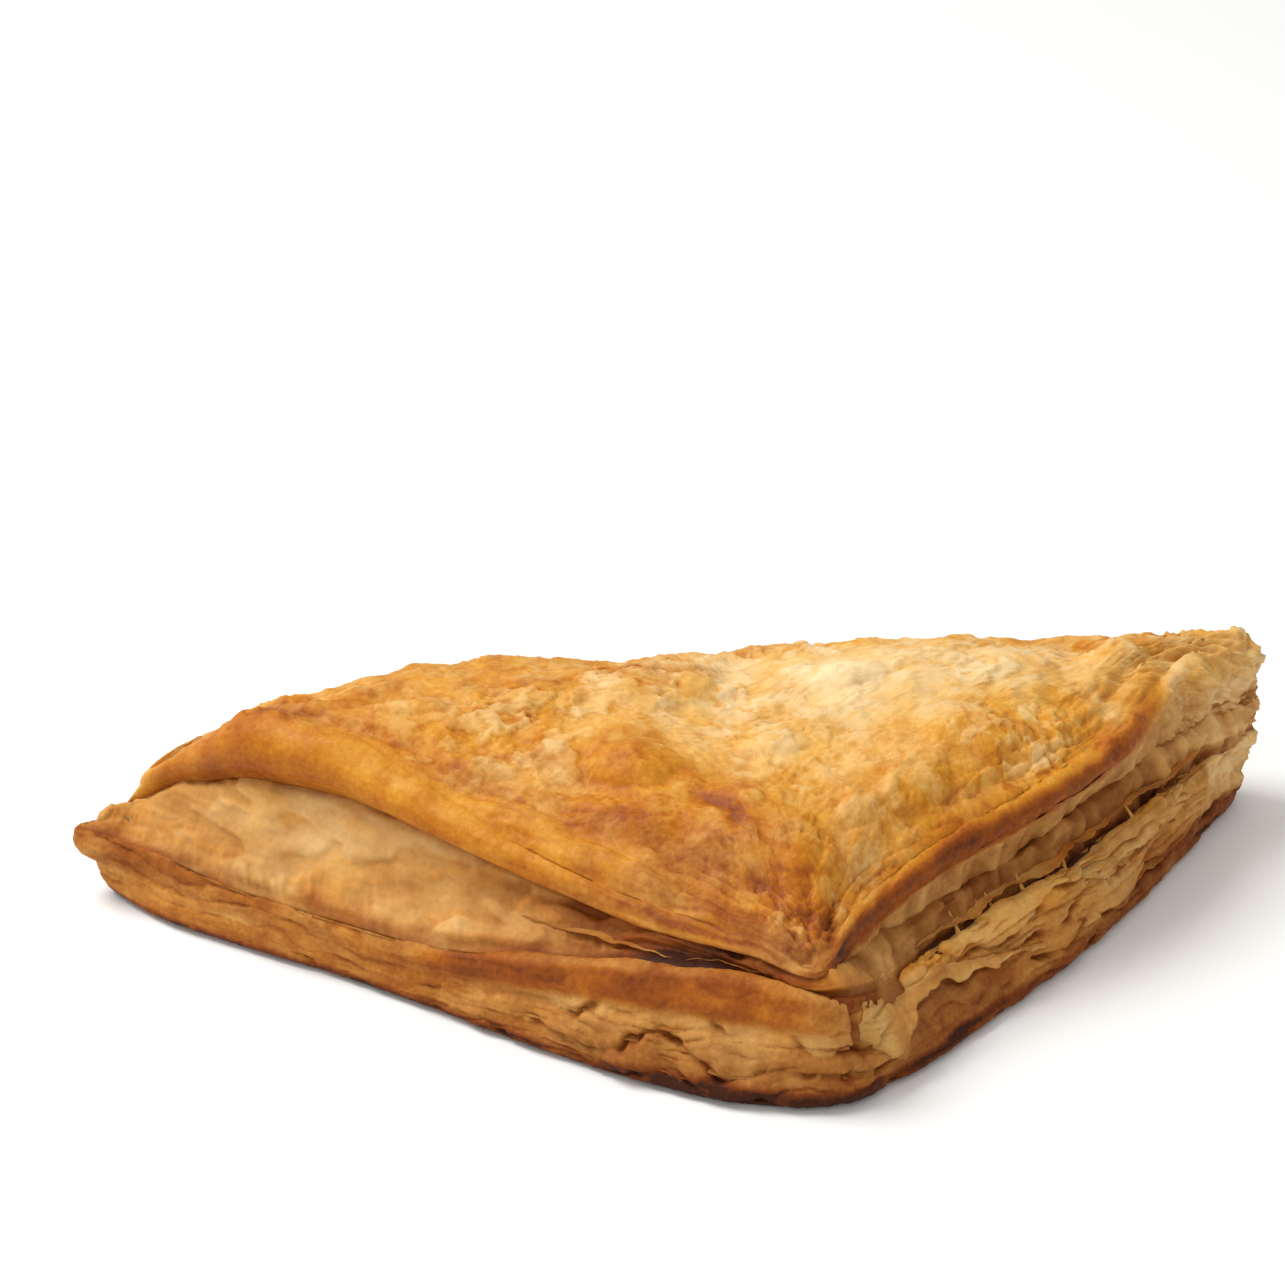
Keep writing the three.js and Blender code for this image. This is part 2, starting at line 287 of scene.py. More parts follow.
def bell(x, y, place):
    """A bell of height 1 over an ellipse, place being x, y, half-width, half-length and turn."""
    along, across = turned(x, y, place)
    return np.exp(-(along ** 2 + across ** 2))


def turned(x, y, place):
    """Shares of the half-length and half-width of an ellipse at which points lie from its centre."""
    turn = np.radians(place[4])
    dx = x - place[0]
    dy = y - place[1]
    along = (dx * np.cos(turn) + dy * np.sin(turn)) / place[3]
    across = (dy * np.cos(turn) - dx * np.sin(turn)) / place[2]
    return along, across


# ---------------------------------------------------------------------------------------------------------
# The loft

def ring(name, places):
    """Points of the closed curve through a ring's points, places being shares of the ring's points. It is the
    centripetal Catmull-Rom curve: a cubic between neighbours, whose slope at each point weighs the two
    neighbours by the square roots of their distances."""
    knots = np.array([tuple(point) + (FOOT_HEIGHT,) * (3 - len(point)) for point in RINGS[name]], float)
    span = places * len(knots)
    first = np.floor(span).astype(int)
    u = (span - first)[:, None]
    a, b, c, d = (knots[(first + step) % len(knots)] for step in (-1, 0, 1, 2))
    ab, bc, cd = (np.linalg.norm(q - p, axis=1, keepdims=True) ** 0.5 for p, q in ((a, b), (b, c), (c, d)))
    leaving = bc * ((b - a) / ab - (c - a) / (ab + bc) + (c - b) / bc)
    arriving = bc * ((c - b) / bc - (d - b) / (bc + cd) + (d - c) / cd)
    bend = 3 * (c - b) - 2 * leaving - arriving
    twist = 2 * (b - c) + leaving + arriving
    return b + u * (leaving + u * (bend + u * twist))


def foot_lengths():
    """Places round the foot, and the length of the foot up to each of them."""
    places = np.linspace(0, 1, 4001)
    steps = np.linalg.norm(np.diff(ring("foot", places), axis=0), axis=1)
    return places, np.concatenate([[0], np.cumsum(steps)])


PLACES, LENGTHS = foot_lengths()
PERIMETER = LENGTHS[-1]


def place_of(lap):
    """The place among the ring's points of a lap, a share of the foot's length."""
    return np.interp((lap % 1.0) * PERIMETER, LENGTHS, PLACES)


def lap_of(station):
    """The lap at which a ring point lies."""
    return np.interp(station / STATIONS, PLACES, LENGTHS) / PERIMETER


def outward(places):
    """The level direction square to the foot, pointing out."""
    ahead = ring("foot", (places + 2e-3) % 1.0) - ring("foot", (places - 2e-3) % 1.0)
    out = np.stack([ahead[:, 1], -ahead[:, 0], np.zeros(len(places))], axis=1)
    return out / np.linalg.norm(out, axis=1, keepdims=True)


def fold_share(station):
    """1 along the fold and 0 along the cut sides."""
    begun = smooth(RIGHT_TIP + 0.1, RIGHT_TIP + 1.0, station)
    return begun * (1 - smooth(STATIONS - 0.9, STATIONS - 0.05, station))


def beyond_left(station):
    """Ring points counted from the left tip, negative along the fold."""
    return (station + STATIONS / 2) % STATIONS - STATIONS / 2


def zone(name, station):
    """1 in the zone of that name, and 0 outside it."""
    start = ZONES[name][0]
    return window(station if start > 0 else beyond_left(station), *ZONES[name])


def crown(x, y):
    """The height that the upper sheet tends to: level over the filling, falling away towards the apex and the
    tips as the square of the distance, with the swellings added."""
    height = np.full(np.shape(x), CROWN)
    for value, (start, rate) in ((-y, FALLS["apex"]), (-x, FALLS["left"]), (x, FALLS["right"])):
        height = height - rate * np.maximum(0, value - abs(start)) ** 2
    for swell in SWELLS:
        height = height + swell[5] * bell(x, y, swell)
    return height


def mixed(a, b, share):
    """a, moved that share of the way to b."""
    return a + (b - a) * share


class Surface:
    """A lofted surface, kept as a table of points for evenly spaced laps and shares across."""

    def __init__(self, sections, marks, turn=0.5):
        """sections holds a line of points for each lap, and marks are the numbers of two of the points, the
        first of them the one that distances are measured from. The lines are divided again into even lengths
        up to the second, which gets the share turn, and into even lengths beyond it."""
        steps = np.linalg.norm(np.diff(sections, axis=1), axis=2)
        length = np.concatenate([np.zeros((len(sections), 1)), np.cumsum(steps, axis=1)], axis=1)
        total = length[:, -1:]
        bend = length[:, marks[1]:marks[1] + 1]
        beyond = turn + (1 - turn) * (length - bend) / (total - bend)
        share = np.where(length < bend, turn * length / bend, beyond)
        order = np.arange(len(sections))[:, None] * 2.0
        known = (share + order).ravel()
        wanted = (np.linspace(0, 1, TABLE_COLUMNS)[None, :] + order).ravel()
        flat = np.concatenate([sections.reshape(-1, 3), length.reshape(-1, 1)], axis=1)
        parts = [np.interp(wanted, known, flat[:, axis]) for axis in range(4)]
        table = np.stack(parts, axis=1).reshape(len(sections), TABLE_COLUMNS, 4)
        self.points, self.lengths = table[..., :3], table[..., 3]
        self.marks = [length[:, mark] for mark in marks]
        along = np.roll(self.points, -2, axis=0) - np.roll(self.points, 2, axis=0)
        across = np.gradient(self.points, axis=1)
        normal = np.cross(along, across)
        size = np.linalg.norm(normal, axis=2, keepdims=True)
        self.normals = np.where(size > 1e-9, normal / np.maximum(size, 1e-9), (0, 0, 1))

    def read(self, table, lap, share):
        """A table's value at each lap and share, blended between its four nearest entries."""
        rows = (lap % 1.0) * len(table)
        row = np.floor(rows).astype(int)
        down = rows - row
        columns = np.clip(share, 0, 1) * (table.shape[1] - 1)
        column = np.minimum(np.floor(columns).astype(int), table.shape[1] - 2)
        right = columns - column
        if table.ndim == 3:
            down = down[..., None]
            right = right[..., None]
        row = row % len(table)
        under = (row + 1) % len(table)
        upper = table[row, column] * (1 - right) + table[row, column + 1] * right
        lower = table[under, column] * (1 - right) + table[under, column + 1] * right
        return upper * (1 - down) + lower * down

    def at(self, lap, share):
        """Points and unit normals."""
        normal = self.read(self.normals, lap, share)
        return self.read(self.points, lap, share), normal / np.linalg.norm(normal, axis=-1, keepdims=True)

    def distance(self, lap, share):
        """How far a point lies beyond the first marked line, measured over the surface."""
        start = self.marks[0]
        rows = (lap % 1.0) * len(start)
        line = np.interp(rows, np.arange(len(start) + 1), np.append(start, start[0]))
        return self.read(self.lengths, lap, share) - line


TABLE_ROWS = 1600       # laps in a surface's table
TABLE_COLUMNS = 420     # and points across it
TABLE_LAPS = np.arange(TABLE_ROWS) / TABLE_ROWS
TABLE_PLACES = place_of(TABLE_LAPS)
BROW_SHARE = 0.27       # of the way across the crust, at which its brow lies
WALL_SHARE = 0.86       # of the way across the lower sheet's side, at which the shelf lies
DOUGH_SHARE = 0.70      # of the way across the inner dough, at which the crease lies
SOLE_INSET = 2.4        # millimetres from the foot in to the sole's edge
CRUST_GAP = 0.45        # millimetres that the crust stands out from the sheet under the fold


def crust_surface():
    """The upper sheet: from inside the crease out to the lip, over a quarter of an ellipse to the brow, and
    in to the centre, rising as 1 - exp(-share / SHOULDER). Along the fold it starts at the foot instead, and
    covers the whole of the back."""
    foot, shelf, crease, lip, brow = (ring(name, TABLE_PLACES) for name in RINGS)
    out = outward(TABLE_PLACES)
    fold = fold_share(TABLE_PLACES * STATIONS)[:, None]
    skin = CRUST_GAP * out
    start = mixed(crease - 1.6 * out - (0, 0, 0.4), foot * (1, 1, 0) - SOLE_INSET * out + (0, 0, 0.15), fold)
    points = [
        start,
        mixed(mixed(start, lip, 0.35), foot + skin - (0, 0, 0.5), fold),
        mixed(mixed(start, lip, 0.65), shelf + skin, fold),
        mixed(mixed(start, lip, 0.9), crease + skin, fold),
        lip,
    ]
    for angle in np.linspace(0, np.pi / 2, 9)[1:]:
        point = mixed(lip, brow, 1 - np.cos(angle))
        point[:, 2] = mixed(lip[:, 2], brow[:, 2], np.sin(angle))
        points.append(point)
    centre = np.array((CENTRE[0], CENTRE[1], 0.0))
    for share in np.linspace(0, 1, 70)[1:] ** 1.2:
        point = mixed(brow, centre, share)
        risen = (1 - np.exp(-share / SHOULDER)) / (1 - np.exp(-1 / SHOULDER))
        point[:, 2] = mixed(brow[:, 2], crown(point[:, 0], point[:, 1]), risen)
        points.append(point)
    return Surface(np.stack(points, axis=1), (4, 12), BROW_SHARE)


def wall_surface():
    """The lower sheet's side, from the sole's edge round the foot and up to the shelf, then in over it."""
    foot, shelf = ring("foot", TABLE_PLACES), ring("shelf", TABLE_PLACES)
    out = outward(TABLE_PLACES)
    points = [foot * (1, 1, 0) - SOLE_INSET * out, foot - 0.7 * out - (0, 0, 0.75)]
    points += [mixed(foot, shelf, share) for share in np.linspace(0, 1, 12)]
    points += [shelf - 0.5 * out + (0, 0, 0.15), shelf - 1.2 * out - (0, 0, 0.1)]
    return Surface(np.stack(points, axis=1), (2, 13), WALL_SHARE)


def dough_surface():
    """The inner dough: a hollowed slope from just inside the shelf up to the crease, and on under the lip."""
    shelf, crease = ring("shelf", TABLE_PLACES), ring("crease", TABLE_PLACES)
    out = outward(TABLE_PLACES)
    fold = fold_share(TABLE_PLACES * STATIONS)[:, None]
    shelf = shelf - fold * 1.5 * out
    crease = crease - fold * 1.5 * out
    points = [shelf - 1.6 * out - (0, 0, 1.6)]
    for share in np.linspace(0, 1, 14):
        point = mixed(shelf - 0.5 * out, crease, share ** 0.8)
        point[:, 2] = mixed(shelf[:, 2] - 0.1, crease[:, 2], share) - 0.8 * np.sin(np.pi * share)
        points.append(point)
    points.append(crease - 2.4 * out + (0, 0, 0.2))
    points.append(crease - 4.4 * out - (0, 0, 0.8))
    return Surface(np.stack(points, axis=1), (1, 14), DOUGH_SHARE)


CRUST = crust_surface()
WALL = wall_surface()
DOUGH = dough_surface()


# ---------------------------------------------------------------------------------------------------------
# The relief and the browning of each surface. Browning is from 0, pale dough, to 1, nearly burnt, and it also
# carries painted shade: grooves, hollows of creases and pleats, and recesses painted darker, and painted
# shadow lines round films and blisters.

def films(points, sizes, soft=1.0):
    """Thin films that have come away in patches. Each is where a warped noise is over its level: it stands a
    step above what is beneath, its edge is a little lifted and paler, and a dark line is painted just outside
    the edge as its shadow. sizes are the size of the patches, the level, the step, and the browning and glaze
    of the film, and soft widens the edges."""
    height = np.zeros(points.shape[:-1])
    brown = height.copy()
    glaze = height.copy()
    for number, (size, level, step, tone, shine) in enumerate(sizes):
        seed = 40 + 9 * number
        warp = np.stack([noise(points / (0.35 * size) + shift, seed) for shift in (3.1, 7.7, 0.0)], axis=-1)
        warped = points + 0.16 * size * warp
        value = noise(warped / size, seed + 1) + 0.4 * noise(warped / (0.3 * size), seed + 2)
        away = (value - level) * 0.45 * size
        away = away / soft
        there = smooth(-0.10, 0.16, away)
        edge = hump(away, 0.35, 0.4)
        height += step * there + 0.5 * step * edge
        brown += tone * there * (0.6 + 0.4 * smooth(0, 2.5, away)) - 0.03 * edge
        # Painted shadow: a dark line just outside the film's edge
        brown += 0.08 / soft * hump(away, -0.2, 0.22)
        glaze += shine * there
    return height, brown, glaze


def crumpled(along, up, seed):
    """Slanting ridges where thin layers were pushed together: 1 less the size of a noise, to the fourth
    power."""
    return (1 - np.abs(noise(spots(along + up, 0.4 * (up - along)) / 2.6, seed))) ** 4


def hanging(along, seed):
    """Pleats that hang down, from a noise that changes only along the edge."""
    return noise(spots(along / 1.9, 0, 0.5), seed)


def blisters(x, y, points):
    """Blisters: domes of (1 - r^2)^0.8 of their rise, inside an outline that wobbles, with a dark shadow line
    painted round the foot of each.
    """
    height = np.zeros(np.shape(x))
    brown = np.zeros(np.shape(x))
    wobble = 1 + 0.22 * noise(points / 3.0, 301)
    for place in BLISTERS:
        along, across = turned(x, y, place)
        r = np.sqrt(along ** 2 + across ** 2) * wobble
        dome = np.maximum(0, 1 - r ** 2) ** 0.8
        height += place[5] * dome
        # Painted shadow round the blister's foot
        brown += 0.07 * hump(r, 1.04, 0.12)
    return height, brown


def pleats(x, y, points):
    """Ridges and creases: each follows a straight line that wanders, and its height is a bell across the line
    that fades over its ends."""
    total = np.zeros((3,) + np.shape(x))
    wander = noise(points / 5.0, 401)
    for x0, y0, x1, y1, width, *amounts in PLEATS:
        length = np.hypot(x1 - x0, y1 - y0)
        ahead = ((x - x0) * (x1 - x0) + (y - y0) * (y1 - y0)) / length
        aside = ((x - x0) * (y1 - y0) - (y - y0) * (x1 - x0)) / length + 1.6 * wander
        there = hump(aside, 0, width) * smooth(-1.0, 3.0, ahead) * (1 - smooth(-3.0, 1.0, ahead - length))
        total += there * np.reshape(amounts, (3,) + (1,) * np.ndim(x))
    return total


def crust_relief(points, edge, lap, station, sizes):
    """Height, browning and glaze of the upper sheet, each a sum of noises and humps in the zones where they
    show. edge is the distance in millimetres beyond the lip, and a noise's last number is its seed."""
    x, y = points[..., 0], points[..., 1]
    fold = fold_share(station)
    left = zone("left edge", station)
    right = zone("right edge", station)
    tip = zone("right tip", station)
    # Towards the right tip the cut edge climbs over the brow
    climb = smooth(RIGHT_TIP - 1.9, RIGHT_TIP - 0.2, station)
    edge = edge - 6.0 * climb * (1 - smooth(RIGHT_TIP + 0.1, RIGHT_TIP + 1.0, station))
    # How far a point belongs to the top, and to all that is over the lip
    level = np.maximum(smooth(1.0, 6.0, edge), 0.6 * fold * smooth(1.5, 7.0, points[..., 2]))
    above = np.maximum(smooth(-0.5, 3.0, edge), 0.8 * fold * smooth(1.0, 3.0, points[..., 2]))
    face = tip * (1 - smooth(-0.6, 0.6, edge))
    rim = spots(lap * PERIMETER, edge)
    swept = rim + 0.8 * spots(0, noise(points / 7, 20))

    height = 0.75 * rough(points, 20, 11, 2) * level
    height += 0.32 * rough(points, 7.5, 12, 2) * above
    # The roll over the left edge, with the valley behind it
    roll = left * (1 - 0.5 * smooth(5.0, 7.0, station))
    height += roll * (0.8 * hump(edge, 4.5, 3.2) - 0.9 * hump(edge + 2.5 * noise(points / 14, 19), 11, 2.2))
    height += right * (0.45 * hump(edge, 3.2, 1.8) - 0.5 * hump(edge, 7.2, 1.6))

    # Wrinkles along the edges, where the sheet rolls over and was stretched
    crease = (1 - np.abs(noise(swept / (13, 2.2, 1), 22))) ** 7
    near_edge = window(edge, 5.0, 15.0, 3.0) * (0.5 + 0.5 * noise(points / 16, 23))
    near_edge += 0.8 * zone("wrinkles by the apex", station) * window(edge, 1.0, 14.0, 2.0)
    near_edge = np.clip(near_edge, 0, 1) + 0.6 * right * window(edge, 1.0, 11.0, 1.5)
    height -= 0.45 * crease * near_edge
    streak = noise(swept / (12, 0.8, 1), 24)
    height += 0.09 * streak * (left + right) * window(edge, 0.5, 11.0, 2.0)
    drawn = zone("stretched roll", station) * window(edge, -1.0, 9.0, 1.5)
    height += 0.35 * drawn * noise(swept / (15, 1.5, 1), 25)
    height -= 0.6 * zone("dent of the apex", station) * window(edge, -1.0, 3.0, 1.2)

    film_height, film_tone_and_shadow, film_glaze = films(points * (1, 1, 0.5), [
        (14, 0.12, 0.20, 0.05, 0.20), (8, 0.20, 0.22, -0.10, -0.40), (5.5, 0.12, 0.18, 0.06, 0.20),
        (3.6, 0.30, 0.16, -0.08, -0.30),
    ])
    smooth_roll = left * window(edge, -1, 9.0, 2.5)
    amount = 0.55 + 0.45 * smooth(-0.3, 0.4, noise(points / 24, 31))
    amount = sizes.flake_depth / FLAKE_DEPTH * amount * level * (1 - 0.65 * smooth_roll)
    height += 0.45 * fold * above * rough(points, 8, 21, 2)
    height += film_height * amount
    blister_height, blister_shadow_line = blisters(x, y, points)
    pleat_height, pleat_brown, pleat_glaze = pleats(x, y, points) * level
    height += sizes.blister_height * blister_height * level + pleat_height

    # Pimples, and a crackle of the driest film
    gap, second, chance = cells(points, 3.4, 61)
    pimple = np.maximum(0, 1 - (gap / (0.5 + 1.0 * chance)) ** 2) * (chance > 0.45) * (1 - 0.7 * smooth_roll)
    height += 0.24 * pimple * above
    gap, second, chance = cells(points + 0.9 * noise(points / 2.0, 62)[..., None], 3.0, 63)
    crackle = hump(second, gap, 0.22)
    dry = smooth(-0.1, 0.5, noise(points / 15, 64) + 1.1 * bell(x, y, (20, -42, 12, 16, 30)) - 0.3) * level
    height -= 0.15 * crackle * dry
    height += 0.06 * rough(points, 1.3, 65, 2) * above

    # The right tip's end is torn into thin layers, and the cut edge over the right side is ragged
    torn, bulge, groove, _ = layered(points[..., 2] / 26, lap * PERIMETER, 13, 70)
    face_height, face_tone_and_shadow, face_glaze = films(
        spots(0.8 * lap * PERIMETER, points[..., 2]),
        [(7, 0.0, 0.55, -0.08, -0.2), (3.6, 0.15, 0.35, 0.10, 0.4)])
    crumple = crumpled(lap * PERIMETER, points[..., 2], 77)
    height += face * (0.15 * torn + 0.10 * bulge - 0.25 * groove)
    height += face * (0.6 * rough(points, 6, 71, 2) + face_height)
    tip_top = tip * smooth(21.0, 24.5, points[..., 2]) * (1 - smooth(5, 10, edge))
    height += 0.7 * (crumple - 0.35) * np.maximum(tip_top, 0.6 * face)
    height += 0.45 * right * hump(edge, 0, 1.3) * noise(rim / (1.7, 3, 1), 73)
    under = right * (1 - smooth(-2.2, -1.2, edge))
    pleat = hanging(lap * PERIMETER + 0.6 * noise(points / 4, 74), 116)
    height += under * (0.40 * pleat + 0.7 * noise(rim / (9, 5, 1), 75) + 0.3)

    brown = 0.43 + 0.05 * rough(points, 15, 81, 2) + 0.05 * rough(points, 5, 82, 2)
    glaze = 0.75 + 0.20 * rough(points, 12, 83, 2) + 0.15 * rough(points, 3.5, 84, 2)
    for tone in CRUST_TONES:
        there = bell(x, y, tone) * level
        brown += tone[5] * there
        glaze += tone[6] * there
    brown += film_tone_and_shadow * amount + blister_shadow_line * level + 0.05 * crackle * dry + 0.04 * pimple
    brown += pleat_brown
    glaze += film_glaze * amount + pleat_glaze
    # Painted shade: the wrinkles' grooves are darker
    brown += 0.07 * crease * near_edge + 0.03 * streak * (left + right)
    # The roll is browner, most towards its lower edge where it turns under, which is partly painted shade,
    # with a faint painted highlight along its crest
    brown += roll * (0.05 + 0.12 * (1 - smooth(0.0, 4.0, edge)) - 0.01 * hump(edge, 5, 2.5))
    brown += 0.12 * zone("left shoulder", station) * (1 - smooth(1, 9, edge))
    # Painted shade in the valley behind the roll
    brown += 0.07 * roll * hump(edge, 11, 2.5)
    glaze += 0.25 * smooth_roll + 0.3 * right * window(edge, 0, 6, 2)
    pinched = zone("pinched edge", station) * (1 - smooth(3, 9, edge))
    brown += pinched * (0.19 + 0.10 * streak)
    glaze -= 0.35 * pinched
    # The right edge, orange, and dark where it is thinnest, the dark running on a little under the edge as
    # painted shadow
    burnt = zone("burnt edge", station) * (1 - 0.5 * smooth(11.0, 12.6, station))
    burnt = burnt * (1 - smooth(0.9, 3.0, edge + 0.6 * noise(rim / (4, 9, 1), 85)))
    brown += 0.10 * zone("brown of the apex", station) * (1 - smooth(-0.5, 2.5, edge))
    brown -= 0.14 * zone("pale rim", station) * hump(edge, 0.6, 0.6)
    brown += right * 0.09 * window(edge, 0.5, 5.5, 1.5) + 0.40 * burnt
    glaze += 0.5 * burnt - 1.2 * face
    # Under the right edge the crust takes a darker dough tone, partly painted shade of the recess, and is
    # darker in its pleats' hollows as painted shade
    brown = mixed(brown, 0.59 + 0.10 * rough(points, 5, 87, 2) - 0.08 * pleat, under)
    glaze = mixed(glaze, -0.2, under)
    # Painted shade: the torn end and the top of the right tip are darker in the hollows of their crumples
    torn_tone_and_shade = 0.34 + 0.10 * rough(points, 5, 86, 2) - 0.12 * (crumple - 0.4) + 0.6 * face_tone_and_shadow
    brown = mixed(brown, torn_tone_and_shade, face)
    glaze += face * face_glaze
    brown = mixed(brown, 0.34 - 0.16 * (crumple - 0.4) + 0.08 * rough(points, 3, 78, 2), 0.85 * tip_top)
    glaze = mixed(glaze, 0.55 + 0.4 * rough(points, 4, 79, 2), 0.85 * tip_top)
    # The fold is browner at its foot, and its left end matches the sheet below
    brown += 0.24 * fold * (1 - smooth(0.8, 3.2, points[..., 2] + 0.9 * noise(rim / (9, 9, 1), 88)))
    brown += 0.07 * fold * rough(points, 9, 89, 2)
    glaze += 0.15 * fold * noise(points / 5, 90)
    tail = smooth(STATIONS - 1.3, STATIONS - 0.3, station) * (1 - smooth(10, 15, points[..., 2]))
    brown += 0.15 * tail
    glaze -= 0.5 * tail
    return height, brown, glaze


def layered(share, along, count, seed):
    """The cut edge of a stack of layers. share runs up the stack, and the layers wander up and down. Each one
    stands out by its own noise and is rounded, and the grooves between them open and close."""
    wander = 0.9 * noise(spots(along / 21), seed) + 0.5 * noise(spots(along / 7, share * 2.0), seed + 1)
    wander = wander + 0.12 * noise(spots(along / 1.8, share * 4.0), seed + 5)
    stack = share * count + wander
    layer = np.floor(stack)
    part = stack - layer
    out = noise(spots(along / 9, layer * 5.17 + 0.5, 0.3), seed + 2)
    out = out + 0.35 * noise(spots(along / 2.6, layer * 3.71 + 0.5, 0.6), seed + 3)
    border = np.round(stack)
    opened = noise(spots(along / 6, border * 4.43 + 0.5, 0.8), seed + 4)
    width = 0.04 + 0.13 * np.clip(opened + 0.3, 0, 1)
    groove = hump(np.minimum(part, 1 - part), 0, width) * smooth(-0.15, 0.45, opened)
    bulge = 1 - np.abs(2 * part - 1) ** 3
    return out, bulge, groove, layer


def wall_relief(points, lap, station, sizes):
    """Height, browning and glaze of the lower sheet's side: a few thick layers of fine laminations."""
    foot = ring("foot", place_of(lap.ravel())).reshape(points.shape)
    shelf = ring("shelf", place_of(lap.ravel())).reshape(points.shape)
    share = (points[..., 2] - FOOT_HEIGHT) / (shelf[..., 2] - foot[..., 2])
    along = lap * PERIMETER
    up = np.clip(share, -0.1, 1.1)
    out, bulge, groove, layer = layered(up, along, 3.4, 90)
    fine_out, fine_bulge, fine_groove, fine_layer = layered(up, along, sizes.laminations, 190)
    fold = fold_share(station)
    calm = zone("calm left side", station)
    right = zone("right side", station)
    amount = sizes.lamination_depth / LAMINATION_DEPTH * (1 - 0.85 * fold) * smooth(0.2, 1.6, points[..., 2])
    band = zone("smooth band", station) * window(share + 0.03 * noise(points / 9, 103), 0.66, 0.98, 0.06)
    patch_top = 1.05 - 0.28 * np.clip(station - 9, 0, 3)
    patch = zone("bare patch", station) * window(share, 0.06, patch_top, 0.08)
    plain = (1 - 0.9 * zone("plain by the band", station) * smooth(0.58, 0.66, share)) * (1 - 0.8 * patch)
    tip = zone("right tip side", station)
    plain = plain * (1 - 0.5 * tip)
    coarse = amount * (1 - 0.75 * calm) * plain
    fine = amount * (1 - 0.8 * calm) * (0.8 + 0.5 * right) * plain
    height = coarse * (0.75 * out + 0.45 * bulge - 1.1 * groove)
    height += fine * (0.16 * fine_out + 0.08 * fine_bulge - 0.28 * fine_groove)
    height += 0.40 * rough(points, 11, 95, 2) * smooth(0.5, 3.0, points[..., 2])
    height += 0.06 * rough(points, 1.1, 96, 2)
    # The top edge of the left side is rounded, its tip is a beak over a notch, and the pinch under the apex
    # runs down in a crease
    height -= 0.5 * calm * smooth(0.80, 1.02, share) * (1 - fold)
    crumple = crumpled(along, points[..., 2], 77)
    height += 0.5 * (crumple - 0.35) * tip * smooth(0.25, 0.5, share)
    height -= 2.3 * fold
    beak = zone("left beak", station)
    height -= 0.4 * beak * (1 - smooth(0.0, 0.34, share))
    height += beak * (1.5 * window(share, 0.60, 1.0, 0.16) - 0.5 * hump(share, 0.40, 0.16))
    pinch = station - (APEX + 0.30 + 0.25 * (1 - share))
    height -= 1.5 * hump(pinch, 0, 0.10) * smooth(0.1, 0.6, share) + 0.6 * hump(pinch, 0, 0.4)

    tone = noise(spots(along / 12, layer * 2.9 + 0.5), 97)
    fine_tone = noise(spots(along / 8, fine_layer * 2.3 + 0.5), 98)
    brown = 0.60 + 0.08 * tone + 0.05 * fine_tone + 0.05 * rough(points, 3, 99, 2) - 0.06 * right
    # Painted shade: the grooves between the layers are darker
    painted_groove_shade = 0.22 * groove * (0.3 + 0.7 * plain) + 0.10 * fine_groove * plain
    brown += painted_groove_shade * (1 - 0.7 * calm)
    # The bottom of the side is darker: partly the burnt base, partly painted shade where the side curves in
    # under onto the floor
    low = 0.10 + 0.06 * zone("deep bottom", station) + 0.20 * zone("deepest bottom", station)
    bottom = 1 - smooth(low - 0.10, low + 0.04, share + 0.03 * noise(points / 5, 100))
    brown += (0.26 + 0.08 * zone("brown bottom by the apex", station)) * bottom * (1 - 0.5 * fold)
    brown += 0.09 * zone("brown foot by the apex", station) * (1 - smooth(0.35, 0.6, share))
    brown += 0.05 * zone("left side", station)
    glaze = 0.25 + 0.25 * calm + 0.25 * tone
    brim = right * smooth(0.70, 0.92, share + 0.08 * noise(points / 6, 102))
    brown -= 0.12 * brim
    glaze += 0.35 * brim
    # Under the left side's edge, the band towards the apex is the brownest and smoothest
    height += 0.7 * band - 0.35 * zone("groove under the band", station) * window(share, 0.50, 0.62, 0.05)
    brown += 0.16 * band - 0.08 * zone("pale under the band", station) * window(share, 0.28, 0.62, 0.08)
    glaze += 0.75 * band
    brown += 0.12 * calm * window(share, 0.62, 0.98, 0.12) * noise(points / (9, 9, 4), 101)
    brown += 0.19 * patch
    # Painted shade in the crease of the pinch
    brown += 0.22 * hump(pinch, 0, 0.12) * smooth(0.2, 0.7, share)
    brown += 0.08 * zone("brown left tip", station) * smooth(0.4, 0.7, share)
    brown -= 0.06 * calm * window(share, 0.2, 0.5, 0.1)
    # The right tip's side is paler, and darker in the hollows of its crumples as painted shade
    brown -= (0.15 + 0.12 * (crumple - 0.4)) * tip * smooth(0.30, 0.5, share)
    brown -= 0.10 * zone("left end of the fold", station)
    glaze -= 0.3 * tip
    return height, brown, glaze


